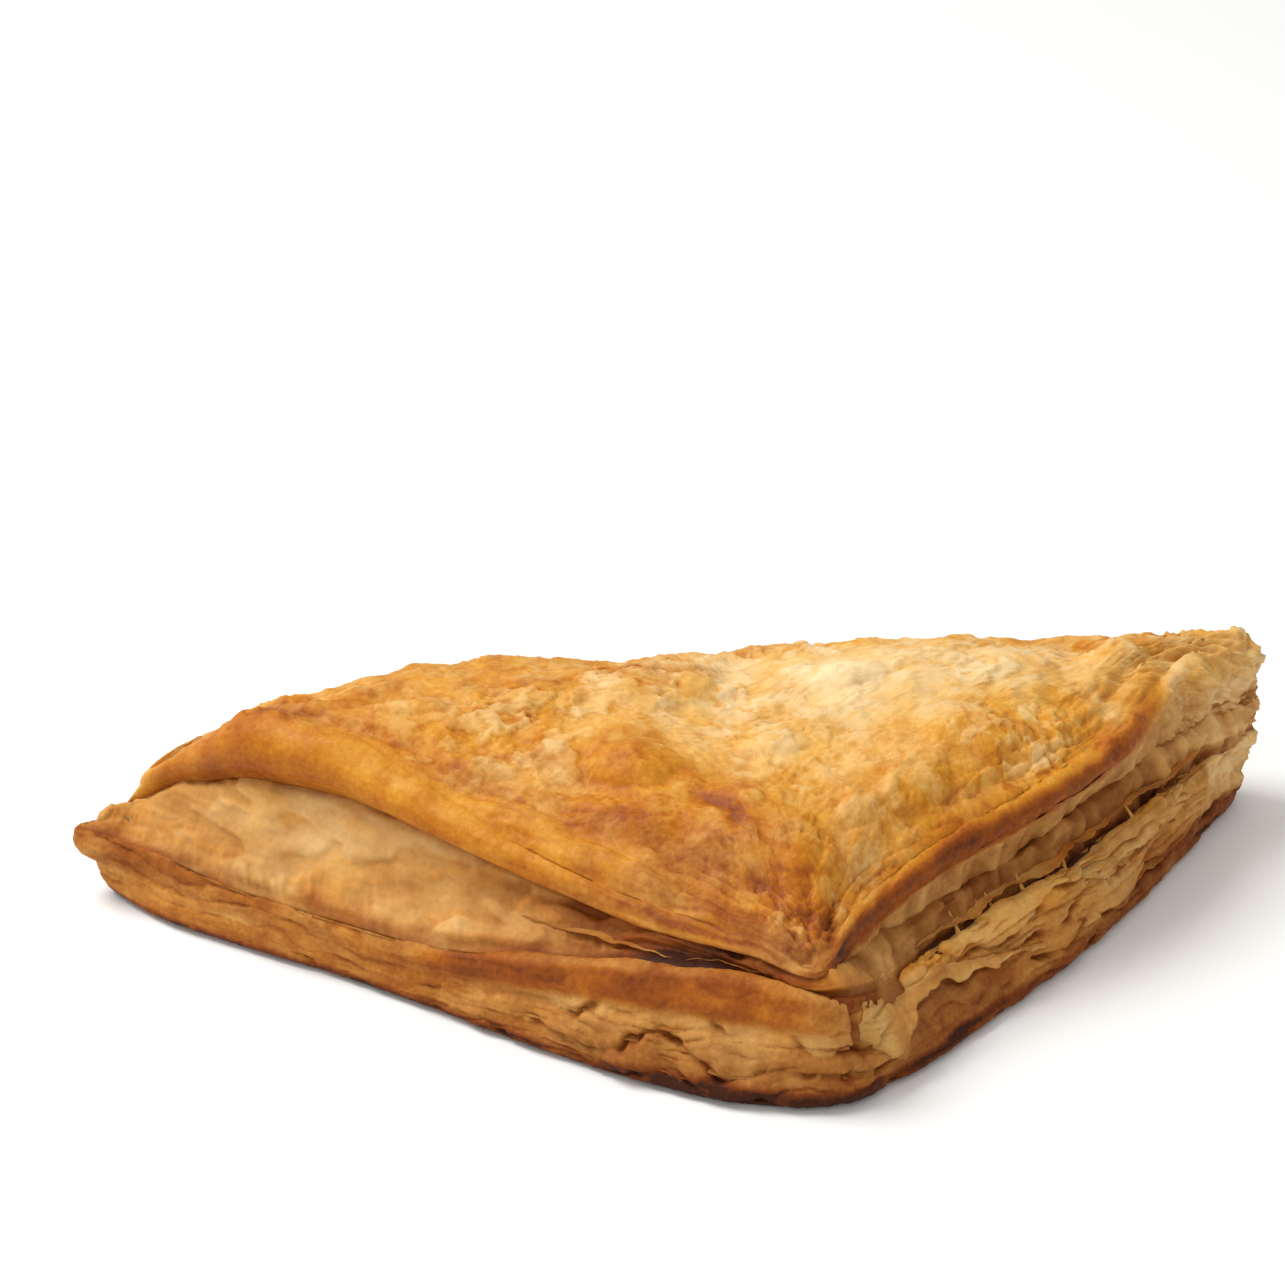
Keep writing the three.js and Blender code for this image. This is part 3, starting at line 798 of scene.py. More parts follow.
def dough_relief(points, rise, lap, station, sizes):
    """Height, browning and glaze of the inner dough: soft lumps, torn films, and pleats where it stands
    steeply on the right side."""
    along = lap * PERIMETER
    rim = spots(along, rise)
    right = zone("right dough", station)
    film_height, film_tone_and_shadow, film_glaze = films(rim * (0.5, 1, 1), [
        (11, 0.0, 0.42, -0.07, -0.2), (6, 0.15, 0.26, 0.05, 0.3)], soft=4.0)
    height = 0.60 * rough(points, 9, 111, 3)
    height += sizes.flake_depth / FLAKE_DEPTH * film_height * smooth(0.8, 2.5, rise)
    drawn = noise(rim / (1.1, 6, 1) + (0, 0, 0.3), 120) * smooth(-0.2, 0.3, noise(rim / (9, 5, 1), 121))
    height += 0.30 * drawn * (1 - right) * (1 - smooth(3.0, 7.0, rise))
    streak = noise(rim / (7, 1.0, 1), 112)
    pleat = hanging(along + 0.6 * noise(points / 4, 74), 116)
    tip = zone("right tip dough", station)
    crumple = crumpled(along, points[..., 2], 77)
    height += 0.10 * streak * (1 - right) + 0.40 * pleat * right * (1 - 0.6 * tip)
    height += 0.6 * (crumple - 0.35) * tip + 0.07 * rough(points, 1.6, 113, 2)
    gap = 1 - smooth(0.6, 3.4, rise + 1.8 * noise(rim / (7, 7, 1), 119))
    gap = gap * zone("gap between the sheets", station)
    height = height * mixed(smooth(-0.3, 2.2, rise), 1, right)
    height += 1.2 * zone("full dough", station) * smooth(1.0, 3.0, rise) - 1.3 * gap
    height -= 2.3 * fold_share(station)
    # Under the apex the sheets stick together, and the dough stands out as far as the crust's edge
    stuck = zone("stuck sheets", station)
    height += stuck * (1.1 + 0.25 * noise(rim / (2.6, 5, 1), 122))
    # Painted shade: the hollows of the pleats, crumples and drawn wrinkles are darker
    brown = 0.47 + 0.08 * rough(points, 8, 114, 2) + 0.03 * streak + film_tone_and_shadow - 0.08 * pleat * right
    brown -= (0.30 + 0.12 * (crumple - 0.4)) * tip
    brown += 0.05 * (0.5 - drawn) * (1 - right) * (1 - smooth(3.0, 7.0, rise))
    brown += 0.22 * (1 - smooth(0.3, 3.0, rise + 1.2 * noise(rim / (6, 6, 1), 117)))
    # The dough by the apex is browner; on the right side, in the recess under the edge, it is darker, partly
    # as painted shade, and the gap between the sheets is painted darker as shade
    brown += 0.42 * zone("brown dough", station) * (1 - 0.6 * stuck) + 0.28 * right + 0.06 * gap
    brown -= 0.16 * stuck
    brown += 0.15 * zone("left tip dough", station) * (1 - smooth(1.0, 4.0, rise))
    brown += 0.12 * window(rise, 7, 11, 2) * noise(rim / (9, 9, 1), 118)
    glaze = 0.15 + film_glaze - 0.4 * right + 0.35 * zone("glazed dough", station)
    return height, brown, glaze


def crust_at(lap, share, sizes):
    """Points, normals, and tones, browning and glaze, of the finished upper sheet."""
    base, normal = CRUST.at(lap, share)
    # On the top the relief stands up straight, so it can't cross itself where the sections crowd together
    normal = normal + (0, 0, 3) * smooth(BROW_SHARE, BROW_SHARE + 0.12, share)[..., None]
    normal = normal / np.linalg.norm(normal, axis=-1, keepdims=True)
    edge = CRUST.distance(lap, share)
    height, *tones = crust_relief(base, edge, lap, place_of(lap) * STATIONS, sizes)
    hidden = smooth(0.0, 0.030, share)
    return base + normal * (height * hidden)[..., None], normal, np.stack(tones, axis=-1)


def wall_at(lap, share, sizes):
    """Points, normals and tones of the lower sheet's side."""
    base, normal = WALL.at(lap, share)
    height, *tones = wall_relief(base, lap, place_of(lap) * STATIONS, sizes)
    hidden = smooth(0.0, 0.06, share)
    return base + normal * (height * hidden)[..., None], normal, np.stack(tones, axis=-1)


def dough_at(lap, share, sizes):
    """Points, normals and tones of the inner dough."""
    base, normal = DOUGH.at(lap, share)
    rise = DOUGH.distance(lap, share)
    height, *tones = dough_relief(base, rise, lap, place_of(lap) * STATIONS, sizes)
    return base + normal * height[..., None], normal, np.stack(tones, axis=-1)


# ---------------------------------------------------------------------------------------------------------
# Meshes

def make_piece(name, parts, material):
    """Makes one mesh of parts, each a set of points, their tones, and its four-sided and three-sided faces,
    moves it from the rings' origin to the row's, and lets it ride with the pastry."""
    points = np.concatenate([part[0] for part in parts])
    tones = np.concatenate([part[1] for part in parts]).astype(np.float32)
    counts = np.cumsum([0] + [len(part[0]) for part in parts])
    faces = [part[2] + first for part, first in zip(parts, counts) if len(part[2])]
    faces += [part[3] + first for part, first in zip(parts, counts) if len(part[3])]
    corners = np.concatenate([face.ravel() for face in faces])
    sides = np.concatenate([np.full(len(face), face.shape[1]) for face in faces])
    placed = (points - (RING_CENTRE[0], RING_CENTRE[1], 0)) / 1000
    placed[:, 2] = np.maximum(placed[:, 2], 0.0)
    mesh = bpy.data.meshes.new(name)
    mesh.vertices.add(len(placed))
    mesh.vertices.foreach_set("co", placed.astype(np.float32).ravel())
    mesh.loops.add(len(corners))
    mesh.loops.foreach_set("vertex_index", corners.astype(np.int32))
    mesh.polygons.add(len(sides))
    mesh.polygons.foreach_set("loop_start", (np.cumsum(sides) - sides).astype(np.int32))
    mesh.update(calc_edges=True)
    mesh.shade_smooth()
    # The browning tone holds the painted shade and shadow lines as well
    for column, tone in enumerate(("browning", "glaze")):
        mesh.attributes.new(tone, "FLOAT", "POINT").data.foreach_set("value", tones[:, column].copy())
    mesh.materials.append(material)
    piece = bpy.data.objects.new(name, mesh)
    bpy.context.scene.collection.objects.link(piece)
    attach(piece, BODY)
    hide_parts(NODE)


def grid_faces(index):
    """Four-sided faces between the neighbours of a grid of point numbers."""
    corners = [index[:-1, :-1], index[:-1, 1:], index[1:, 1:], index[1:, :-1]]
    return np.stack(corners, axis=-1).reshape(-1, 4)


def ring_faces(index):
    """Four-sided faces of a grid of point numbers whose rows go round."""
    return grid_faces(np.concatenate([index, index[:, :1]], axis=1))


def fan_faces(row, pole, up):
    """Three-sided faces from a closed row of points to a pole."""
    ahead = np.roll(row, -1)
    order = (row, ahead, np.full_like(row, pole)) if up else (ahead, row, np.full_like(row, pole))
    return np.stack(order, axis=-1)


def square_rings(count):
    """A square grid read as rings round its middle: the ring number and the share of the way round of each
    point, and the grid's faces. Ring k has 8k points, so the mesh is even all over."""
    across = np.arange(-count, count + 1)
    i, j = (value.ravel() for value in np.meshgrid(across, across, indexing="xy"))
    k = np.maximum(np.abs(i), np.abs(j))
    way = np.select([(i == k) & (j < k), (j == k) & (i > -k), (i == -k) & (j > -k)],
                    [j + k, 3 * k - i, 5 * k - j], default=7 * k + i)
    lap = np.where(k > 0, way / np.maximum(8 * k, 1), 0.0) % 1.0
    side = 2 * count + 1
    return k, lap, grid_faces(np.arange(side * side).reshape(side, side))


def sheet_part(top, normal, tones, thick):
    """A thin closed sheet over a grid of points: the grid itself, and a copy of it the sheet's thickness
    below, which come together along the grid's own edges. thick is the thickness at each point."""
    rows, columns = top.shape[:2]
    under = top - normal * thick[..., None]
    points = np.concatenate([top.reshape(-1, 3), under.reshape(-1, 3)])
    index = np.arange(rows * columns).reshape(rows, columns)
    upper = grid_faces(index)
    lower = upper[:, ::-1] + rows * columns
    border = np.concatenate([index[0, :-1], index[:-1, -1], index[-1, :0:-1], index[:0:-1, 0]])
    ahead = np.roll(border, -1)
    rim = np.stack([ahead, border, border + rows * columns, ahead + rows * columns], axis=-1)
    both = np.tile(tones.reshape(-1, 2), (2, 1))
    return points, both, np.concatenate([upper, lower, rim]), np.zeros((0, 3), int)


# ---------------------------------------------------------------------------------------------------------
# Materials

def linear(code):
    """The linear colour of an sRGB hex code."""
    value = np.array([int(code[i:i + 2], 16) for i in (1, 3, 5)]) / 255
    value = np.where(value <= 0.04045, value / 12.92, ((value + 0.055) / 1.055) ** 2.4)
    return (*value, 1.0)


def add(tree, kind, settings=(), inputs=()):
    """Adds a node. settings are pairs of its own properties, and inputs are pairs of an input and the socket
    or value that goes into it."""
    node = tree.nodes.new(kind)
    for name, value in settings:
        setattr(node, name, value)
    for name, value in inputs:
        if isinstance(value, bpy.types.NodeSocket):
            tree.links.new(value, node.inputs[name])
        else:
            node.inputs[name].default_value = value
    return node


def shades(tree, amount, stops):
    """The colour at an amount of browning, between stops that are pairs of a position and a colour."""
    ramp = add(tree, "ShaderNodeValToRGB", (), [("Fac", amount)])
    elements = ramp.color_ramp.elements
    for element, (position, colour) in zip(elements, (stops[0], stops[-1])):
        element.position = position
        element.color = colour
    for position, colour in stops[1:-1]:
        elements.new(position).color = colour
    return ramp.outputs["Color"]


def baked_dough(name, mottle, grain, gloss, through):
    """Baked laminated dough. mottle is how far the browning varies over a few millimetres, grain the height
    of the surface's grain in millimetres, gloss the roughness, and through how much light passes into it."""
    colours = bpy.context.scene.turnover_colours
    material = bpy.data.materials.new(name)
    material.use_nodes = True
    tree = material.node_tree
    tree.nodes.clear()
    where = add(tree, "ShaderNodeTexCoord").outputs["Object"]
    browning = add(tree, "ShaderNodeAttribute", [("attribute_name", "browning")]).outputs["Fac"]
    glaze = add(tree, "ShaderNodeAttribute", [("attribute_name", "glaze")]).outputs["Fac"]
    # Patches of 4 mm and specks of 0.8 mm, as sugar and butter brown unevenly
    patches = add(tree, "ShaderNodeTexNoise", (), [("Vector", where), ("Scale", 250.0), ("Detail", 4.0),
                                                   ("Roughness", 0.6)]).outputs["Fac"]
    specks = add(tree, "ShaderNodeTexNoise", (), [("Vector", where), ("Scale", 1250.0), ("Detail", 3.0),
                                                  ("Roughness", 0.65)]).outputs["Fac"]
    both = add(tree, "ShaderNodeMath", [("operation", "ADD")], [(0, patches), (1, specks)]).outputs[0]
    spread = add(tree, "ShaderNodeMapRange", (), [("Value", both), ("From Min", 0.6), ("From Max", 1.4),
                                                  ("To Min", -mottle), ("To Max", mottle)]).outputs[0]
    browned = add(tree, "ShaderNodeMath", [("operation", "ADD")], [(0, browning), (1, spread)]).outputs[0]
    bare = shades(tree, browned, [(0.0, colours.raw), (0.30, colours.pale), (0.50, colours.biscuit),
                                  (0.68, colours.tan), (0.85, colours.umber), (1.0, colours.burnt)])
    washed = shades(tree, browned, [(0.0, colours.raw), (0.24, colours.straw), (0.44, colours.golden),
                                    (0.60, colours.amber), (0.75, colours.russet), (0.90, colours.umber),
                                    (1.0, colours.burnt)])
    colour = add(tree, "ShaderNodeMix", [("data_type", "RGBA")], [("Factor", glaze)])
    tree.links.new(bare, colour.inputs[6])
    tree.links.new(washed, colour.inputs[7])
    # Grain of 0.35 mm, the finest that shows, over ripples of 1.2 mm
    ripples = add(tree, "ShaderNodeTexNoise", (), [("Vector", where), ("Scale", 830.0), ("Detail", 3.0)])
    finest = add(tree, "ShaderNodeTexNoise", (), [("Vector", where), ("Scale", 2900.0), ("Detail", 2.0)])
    relief = add(tree, "ShaderNodeMath", [("operation", "MULTIPLY_ADD")],
                 [(0, finest.outputs["Fac"]), (1, 0.5), (2, ripples.outputs["Fac"])]).outputs[0]
    bump = add(tree, "ShaderNodeBump", (), [("Height", relief), ("Strength", 0.7),
                                            ("Distance", grain / 1000)]).outputs["Normal"]
    shine = add(tree, "ShaderNodeMapRange", (), [("Value", glaze), ("From Min", 0.0), ("From Max", 1.0),
                                                 ("To Min", gloss + 0.14), ("To Max", gloss)]).outputs[0]
    shader = add(tree, "ShaderNodeBsdfPrincipled", (), [
        ("Base Color", colour.outputs[2]), ("Roughness", shine), ("Normal", bump), ("IOR", 1.45),
        ("Specular IOR Level", 0.22),
        ("Subsurface Weight", through), ("Subsurface Radius", (1.0, 0.45, 0.18)),
        ("Subsurface Scale", 0.0012),
    ])
    add(tree, "ShaderNodeOutputMaterial", (), [("Surface", shader.outputs["BSDF"])])
    return material


# Each finish: mottle, grain, gloss and through, as baked_dough takes them
FINISHES = {
    # Puff pastry brushed with egg and baked: matt and dry, with a faint gloss where the wash took
    "egg washed crust": (0.11, 0.15, 0.52, 0.08),
    # Cut edges of laminated dough: bare, dry and rough
    "cut laminations": (0.10, 0.17, 0.62, 0.08),
    # The inside of the sheet, steamed rather than baked: soft, pale and waxy
    "inner dough": (0.07, 0.11, 0.58, 0.18),
    # Single films of dough, thin enough for light to pass
    "single films": (0.07, 0.05, 0.55, 0.25),
}


def material(name):
    """The finish of that name, made the first time that it is asked for."""
    return bpy.data.materials.get(name) or baked_dough(name, *FINISHES[name])


# ---------------------------------------------------------------------------------------------------------
# The pieces' sizes and colours, as a user would change them

class TurnoverSizes(bpy.types.PropertyGroup):
    rings: IntProperty(name="Crust rings", description="How finely the crust is divided", default=154, min=20)
    laminations: IntProperty(name="Laminations", description="Layers that show in the lower sheet's side",
                             default=10, min=3)
    lamination_depth: FloatProperty(name="Lamination depth", default=LAMINATION_DEPTH, min=0.0,
                                    description="Depth of the grooves, in millimetres")
    flake_depth: FloatProperty(name="Flake depth", default=FLAKE_DEPTH, min=0.0,
                               description="Thickness of a film that has come away, in millimetres")
    blister_height: FloatProperty(name="Blister height", description="Multiplies the height of the blisters",
                                  default=1.0, min=0.0)
    leaf_seed: IntProperty(name="Seed", description="Changes the torn edges", default=5, min=0)


def shade(name, description, code):
    """A colour that a user can change, from its sRGB hex code."""
    return FloatVectorProperty(name=name, description=description, subtype="COLOR", size=4, min=0.0, max=1.0,
                               default=linear(code))


class TurnoverColours(bpy.types.PropertyGroup):
    raw: shade("Raw", "Least baked dough", "#E9CF9E")
    pale: shade("Pale", "Bare dough, lightly baked", "#D8AE72")
    biscuit: shade("Biscuit", "Bare dough, baked", "#BF8B4C")
    tan: shade("Tan", "Bare dough, well baked", "#99622B")
    straw: shade("Straw", "Washed crust, lightly baked", "#E3B158")
    golden: shade("Golden", "Washed crust, baked", "#CE8D28")
    amber: shade("Amber", "Washed crust, well baked", "#B86D12")
    russet: shade("Russet", "Edges of the crust", "#984D0B")
    umber: shade("Umber", "Thin edges and the base", "#743606")
    burnt: shade("Burnt", "Where it caught", "#3C1805")
    floor: shade("Floor", "The board that it stands on", "#EFEFEE")


# ---------------------------------------------------------------------------------------------------------
# Operators

class TURNOVER_OT_crust(bpy.types.Operator):
    """Makes the upper sheet of the pastry, with its fold"""
    bl_idname = "turnover.crust"
    bl_label = "Make the crust"

    def execute(self, context):
        sizes = context.scene.turnover_sizes
        count = sizes.rings
        k, lap, faces = square_rings(count)
        points, _, tones = crust_at(lap, 1 - k / count, sizes)

        # Beneath, the sheet closes on a point inside the pastry
        last = 8 * count
        outer = np.flatnonzero(k == count)
        outer = outer[np.argsort(lap[outer])]
        inside = np.array((CENTRE[0], CENTRE[1], 3.0))
        rows = [mixed(points[outer], inside, share) for share in (0.08, 0.45)]
        first = len(points)
        index = np.concatenate([outer, np.arange(first, first + 2 * last)]).reshape(3, last)
        pole = first + 2 * last
        everything = np.concatenate([points, *rows, inside[None, :]])
        tones = np.concatenate([tones, np.full((2 * last + 1, 2), 0.4)])
        caps = fan_faces(index[-1], pole, up=False)
        under = ring_faces(index)[:, [0, 3, 2, 1]]      # the corners the other way round, to look down
        make_piece("crust", [(everything, tones, np.concatenate([faces, under]), caps)],
                   material("egg washed crust"))
        return {"FINISHED"}


SOLE_TONES = (0.66, 0.4)        # browning and glaze of the sole
HIDDEN_TONES = (0.3, 0.3)       # and of the points inside the pastry


def tray(surface_at, sizes, laps, rows, floor):
    """A closed piece with one of the lofted surfaces as its rim: the surface, then inside points under it,
    and a pole at its middle above and below. floor is the height of the lower pole."""
    lap, share = np.meshgrid(laps, np.linspace(0, 1, rows))
    points, _, tones = surface_at(lap, share, sizes)
    low = np.array((CENTRE[0], CENTRE[1], floor))
    high = np.array((CENTRE[0], CENTRE[1], floor + 1.0))
    sole = [mixed(points[0], low, part) for part in (0.85, 0.5, 0.2, 0.05)]
    inner = mixed(points[-1], high, 0.12)
    inner[:, 2] = high[2]
    grid = np.concatenate([sole, points, [inner]])
    sole_tones = np.broadcast_to(SOLE_TONES, (len(sole), len(laps), 2))
    tones = np.concatenate([sole_tones, tones, np.broadcast_to(HIDDEN_TONES, (1, len(laps), 2))])
    total = len(grid) * len(laps)
    index = np.arange(total).reshape(len(grid), len(laps))
    flat = np.concatenate([grid.reshape(-1, 3), [low, high]])
    faces = ring_faces(index)
    caps = np.concatenate([fan_faces(index[0], total, up=False), fan_faces(index[-1], total + 1, up=True)])
    return flat, np.concatenate([tones.reshape(-1, 2), [SOLE_TONES, HIDDEN_TONES]]), faces, caps


def dense_laps(count, share):
    """Laps that are closer together along the cut sides, which get that share of them."""
    turn = lap_of(RIGHT_TIP + 1.2)
    front = np.linspace(0, turn, int(count * share), endpoint=False)
    return np.concatenate([front, np.linspace(turn, 1, count - len(front), endpoint=False)])


class TURNOVER_OT_lower_sheet(bpy.types.Operator):
    """Makes the lower sheet, with the laminations in its side"""
    bl_idname = "turnover.lower_sheet"
    bl_label = "Make the lower sheet"

    def execute(self, context):
        part = tray(wall_at, context.scene.turnover_sizes, dense_laps(1180, 0.88), rows=78, floor=0.05)
        make_piece("lower_sheet", [part], material("cut laminations"))
        return {"FINISHED"}


class TURNOVER_OT_inner_dough(bpy.types.Operator):
    """Makes the pale inner dough between the two sheets"""
    bl_idname = "turnover.inner_dough"
    bl_label = "Make the inner dough"

    def execute(self, context):
        part = tray(dough_at, context.scene.turnover_sizes, dense_laps(1150, 0.9), rows=66, floor=4.0)
        make_piece("inner_dough", [part], material("inner dough"))
        return {"FINISHED"}


LEAF_STEP = 0.30    # millimetres between points along a torn layer
LEAF_ROOT = 1.6     # millimetres from the cut edge in to its root


def leaf(stations, anchor, reach, thickness, lift, tone, seed):
    """A thin torn layer that stands out of a cut edge. stations are the ring points that it runs between,
    anchor gives its root line, reach how far it stands out, and lift how far its edge turns up. It is a
    strip across which the share runs from the root, inside the pastry, to the torn edge."""
    start, end = lap_of(stations[0]), lap_of(stations[1])
    laps = np.linspace(start, end, int((end - start) * PERIMETER / LEAF_STEP) + 30)
    places = place_of(laps)
    along = laps * PERIMETER
    line = spots(along, 7.7 * seed)
    ends = np.sin(np.pi * np.linspace(0, 1, len(laps))) ** 0.35
    torn = 0.50 + 0.55 * noise(line / (9, 1, 1), seed) + 0.30 * noise(line / (2.6, 1, 1), seed + 1)
    torn = torn + 0.14 * noise(line / (0.9, 1, 1), seed + 2)
    far = -1.5 + (reach * np.clip(torn, -0.6, 1.6) + 1.5) * ends
    wave = 0.45 * noise(line / (8, 1, 1), seed + 3) + 0.18 * noise(line / (2.4, 1, 1), seed + 4)
    share = np.linspace(0, 1, 8)[:, None]
    distance = -LEAF_ROOT + share * (far + LEAF_ROOT)
    top = anchor(places)[None] + outward(places)[None] * distance[..., None]
    top[..., 2] += (lift + 0.8 * reach * wave) * share ** 2 + 1.0 * wave
    normal = np.broadcast_to((0.0, 0.0, 1.0), top.shape)
    thick = thickness * (1 - 0.75 * share ** 4) * (0.5 + 0.5 * ends)[None]
    brown = tone + 0.14 * share ** 3 + 0.10 * noise(line / (5, 1, 1), seed + 5)[None] + 0 * distance
    glaze = 0.3 + 0.35 * noise(line / (7, 1, 1), seed + 6)[None] + 0 * distance
    tones = np.stack([brown, glaze], axis=-1)
    return sheet_part(top[:, ::-1], normal, tones[:, ::-1], thick[:, ::-1])


def between(lower, upper, share, inset=0.0):
    """A function of places that gives the line that share of the way from one ring to another, moved in."""
    return lambda places: mixed(ring(lower, places), ring(upper, places), share) - inset * outward(places)


def wall_line(share, inset=0.0):
    """The line that share of the way up the lower sheet's side, from the foot to the shelf."""
    return between("foot", "shelf", share, inset)


def wall_share(lap, up):
    """The share across the lower sheet's side at which it is that far up from its foot to its shelf."""
    rows = (lap % 1.0) * len(TABLE_LAPS)
    foot, shelf, total = (np.interp(rows, np.arange(len(TABLE_LAPS) + 1), np.append(line, line[0]))
                          for line in (*WALL.marks, WALL.lengths[:, -1]))
    return (foot + (shelf - foot) * up) / total


def draped(stations, top_line, low_line, off, tone, seed, sizes):
    """A film that has peeled off and hangs down over the lower sheet's side. Each line is a list of shares up
    the side, spread evenly along the film, and its lower edge is ragged and stands off by off."""
    length = (lap_of(stations[1]) - lap_of(stations[0])) * PERIMETER
    along, down = np.meshgrid(np.linspace(0, 1, int(length / 0.2) + 20), np.linspace(0, 1, 34))
    knots = np.linspace(0, 1, len(top_line))
    rim = spots(along * length, 0, 2.2 * seed)
    upper = smooth_between(along, knots, top_line)
    lower = smooth_between(along, knots, low_line)
    lower = lower + 0.09 * noise(rim / 5.0, seed) + 0.02 * noise(rim / 1.6, seed + 1)
    lap = mixed(lap_of(stations[0]), lap_of(stations[1]), along)
    points, normal, _ = wall_at(lap, wall_share(lap, mixed(upper, lower, down)), sizes)
    folds = noise((rim + down[..., None] * (1.5, 4.0, 0)) / (3.4, 3.4, 1), seed + 2)
    folds = folds + 0.5 * noise((rim + down[..., None] * (0.8, 1.5, 0)) / (1.3, 2.0, 1), seed + 3)
    ends = np.minimum(1, length / 1.5 * np.minimum(along, 1 - along))
    stand = 0.25 + (off * down ** 1.5 + 0.40 * folds * down ** 0.5) * ends
    top = points + normal * stand[..., None]
    brown = tone + 0.11 * folds + 0.10 * smooth(0.90, 1.0, down) - 0.06 * down
    tones = np.stack([brown, np.full_like(brown, 0.2)], axis=-1)
    return sheet_part(top[:, ::-1], normal[:, ::-1], tones[:, ::-1], 0.22 * (1 - 0.6 * down ** 3)[:, ::-1])


def strand(station, lean, radius):
    """A strand of dough drawn out between the sheets: a tube, thin at its middle, along a curve of three
    points, (1 - t)^2 times the first, 2t(1 - t) times the second and t^2 times the third."""
    upper = between("shelf", "crease", 0.95, 2.0)(np.array([station / STATIONS]))[0]
    lower = wall_line(0.97, 1.0)(np.array([(station + lean) / STATIONS]))[0]
    out = outward(np.array([station / STATIONS]))[0]
    t = np.linspace(0, 1, 14)[:, None, None]
    aside = np.cross(out, (0.0, 0.0, 1.0))
    middle = (upper + lower) / 2 + 1.3 * out + 6 * lean * aside
    path = (1 - t) ** 2 * upper + 2 * t * (1 - t) * middle + t ** 2 * lower
    turn = np.linspace(0, 2 * np.pi, 8, endpoint=False)[None, :, None]
    thick = radius * (1 + 2.6 * np.abs(2 * t - 1) ** 3)
    points = path + thick * (np.cos(turn) * aside + np.sin(turn) * out)
    rows, columns = points.shape[:2]
    flat = np.concatenate([points.reshape(-1, 3), [upper, lower]])
    index = np.arange(rows * columns).reshape(rows, columns)
    caps = np.concatenate([fan_faces(index[0], rows * columns, up=True),
                           fan_faces(index[-1], rows * columns + 1, up=False)])
    return flat, np.full((len(flat), 2), 0.45), ring_faces(index)[:, ::-1], caps


def smooth_between(value, knots, heights):
    """A line through heights at knots that is level at each of them."""
    after = np.clip(np.searchsorted(knots, value, side="right"), 1, len(knots) - 1)
    part = (value - knots[after - 1]) / (knots[after] - knots[after - 1])
    heights = np.array(heights)
    return mixed(heights[after - 1], heights[after], part * part * (3 - 2 * part))


class TURNOVER_OT_leaves(bpy.types.Operator):
    """Makes the torn layers that stand out of the cut edges"""
    bl_idname = "turnover.leaves"
    bl_label = "Make the torn layers"

    def execute(self, context):
        seed = context.scene.turnover_sizes.leaf_seed * 100
        sizes = context.scene.turnover_sizes
        groups = {
            "left_edge_layers": [
                ((5.4, 8.2), wall_line(0.50), 0.70, 0.30, -0.15, 0.52),
                ((4.2, 8.2), wall_line(0.36), 0.60, 0.30, -0.15, 0.54),
                ((5.6, 8.5), wall_line(0.22), 0.60, 0.30, -0.10, 0.56),
                ((1.6, 8.4), wall_line(0.10), 0.40, 0.30, 0.0, 0.72),
                ((4.8, 7.8), between("shelf", "crease", 0.5), 0.8, 0.22, 0.2, 0.56),
            ],
            "right_edge_layers": [
                ((9.2, 14.2), wall_line(1.0, 0.3), 1.0, 0.36, 0.2, 0.46),
                ((9.6, 14.0), wall_line(0.84), 1.1, 0.32, -0.1, 0.50),
                ((10.4, 13.6), wall_line(0.66), 1.1, 0.32, -0.1, 0.56),
                ((10.2, 14.2), wall_line(0.48), 0.9, 0.30, -0.1, 0.52),
                ((10.6, 13.9), wall_line(0.32), 0.8, 0.30, -0.1, 0.60),
                ((8.6, 14.2), wall_line(0.14), 0.3, 0.30, 0.0, 0.74),
                ((9.4, 13.6), between("shelf", "crease", 0.45), 1.5, 0.22, 0.3, 0.50),
                ((8.9, 13.6), between("crease", "lip", 0.90, 0.5), 0.60, 0.35, -0.1, 0.86),
            ],
            "right_tip_layers": [
                ((13.1, 15.2), wall_line(share, 0.3), 0.5, 0.32, 0.1, 0.46 + 0.14 * (share < 0.3))
                for share in (0.16, 0.36, 0.58, 0.80, 1.0)
            ] + [
                ((13.0 + 0.5 * share, 15.2), between("shelf", "crease", share, 0.3), 0.5, 0.30, 0.2, 0.44)
                for share in (0.4, 0.8)
            ] + [
                ((12.9 + 0.4 * share, 15.1), between("crease", "lip", share, 0.3), 0.5, 0.30, 0.2, 0.44)
                for share in (0.2, 0.6, 0.95)
            ],
        }
        for number, (name, leaves) in enumerate(groups.items()):
            parts = [leaf(*values, seed + 31 * i + 1000 * number) for i, values in enumerate(leaves)]
            make_piece(name, parts, material("single films"))
        films_down = [
            ((8.46, 10.8),
             (0.95, 0.95, 0.95, 0.97, 1.0, 0.98, 0.93, 0.86, 0.78, 0.71, 0.65, 0.60, 0.55, 0.50, 0.45, 0.40),
             (0.55, 0.30, 0.25, 0.52, 0.74, 0.76, 0.72, 0.66, 0.58, 0.54, 0.52, 0.49, 0.45, 0.42, 0.40, 0.37),
             1.0, 0.56, seed + 8, sizes),
            ((11.2, 13.0), (0.98, 0.94, 0.96), (0.80, 0.72, 0.84), 0.8, 0.50, seed + 9, sizes),
        ]
        make_piece("peeled_films", [draped(*values) for values in films_down], material("single films"))
        strands = [strand(*values) for values in (
            (10.16, 0.05, 0.22), (10.42, -0.03, 0.30), (10.50, 0.05, 0.16), (10.80, 0.04, 0.26),
            (11.30, -0.05, 0.18), (12.05, 0.05, 0.20))]
        make_piece("strands", strands, material("single films"))
        return {"FINISHED"}


CAMERA_PLACE = (-0.092756, -0.518818, 0.328630)     # metres: half a metre off, looking 28 degrees down
CAMERA_TARGET = (0.00502, 0.09146, 0.0)
CAMERA_LENS = 128.08
# Soft boxes: name, place in metres, width in metres, power in watts
LAMPS = [("key", (-0.42, 0.22, 0.75), 0.45, 6.5), ("front", (-0.35, -0.80, 0.55), 0.7, 1.6)]


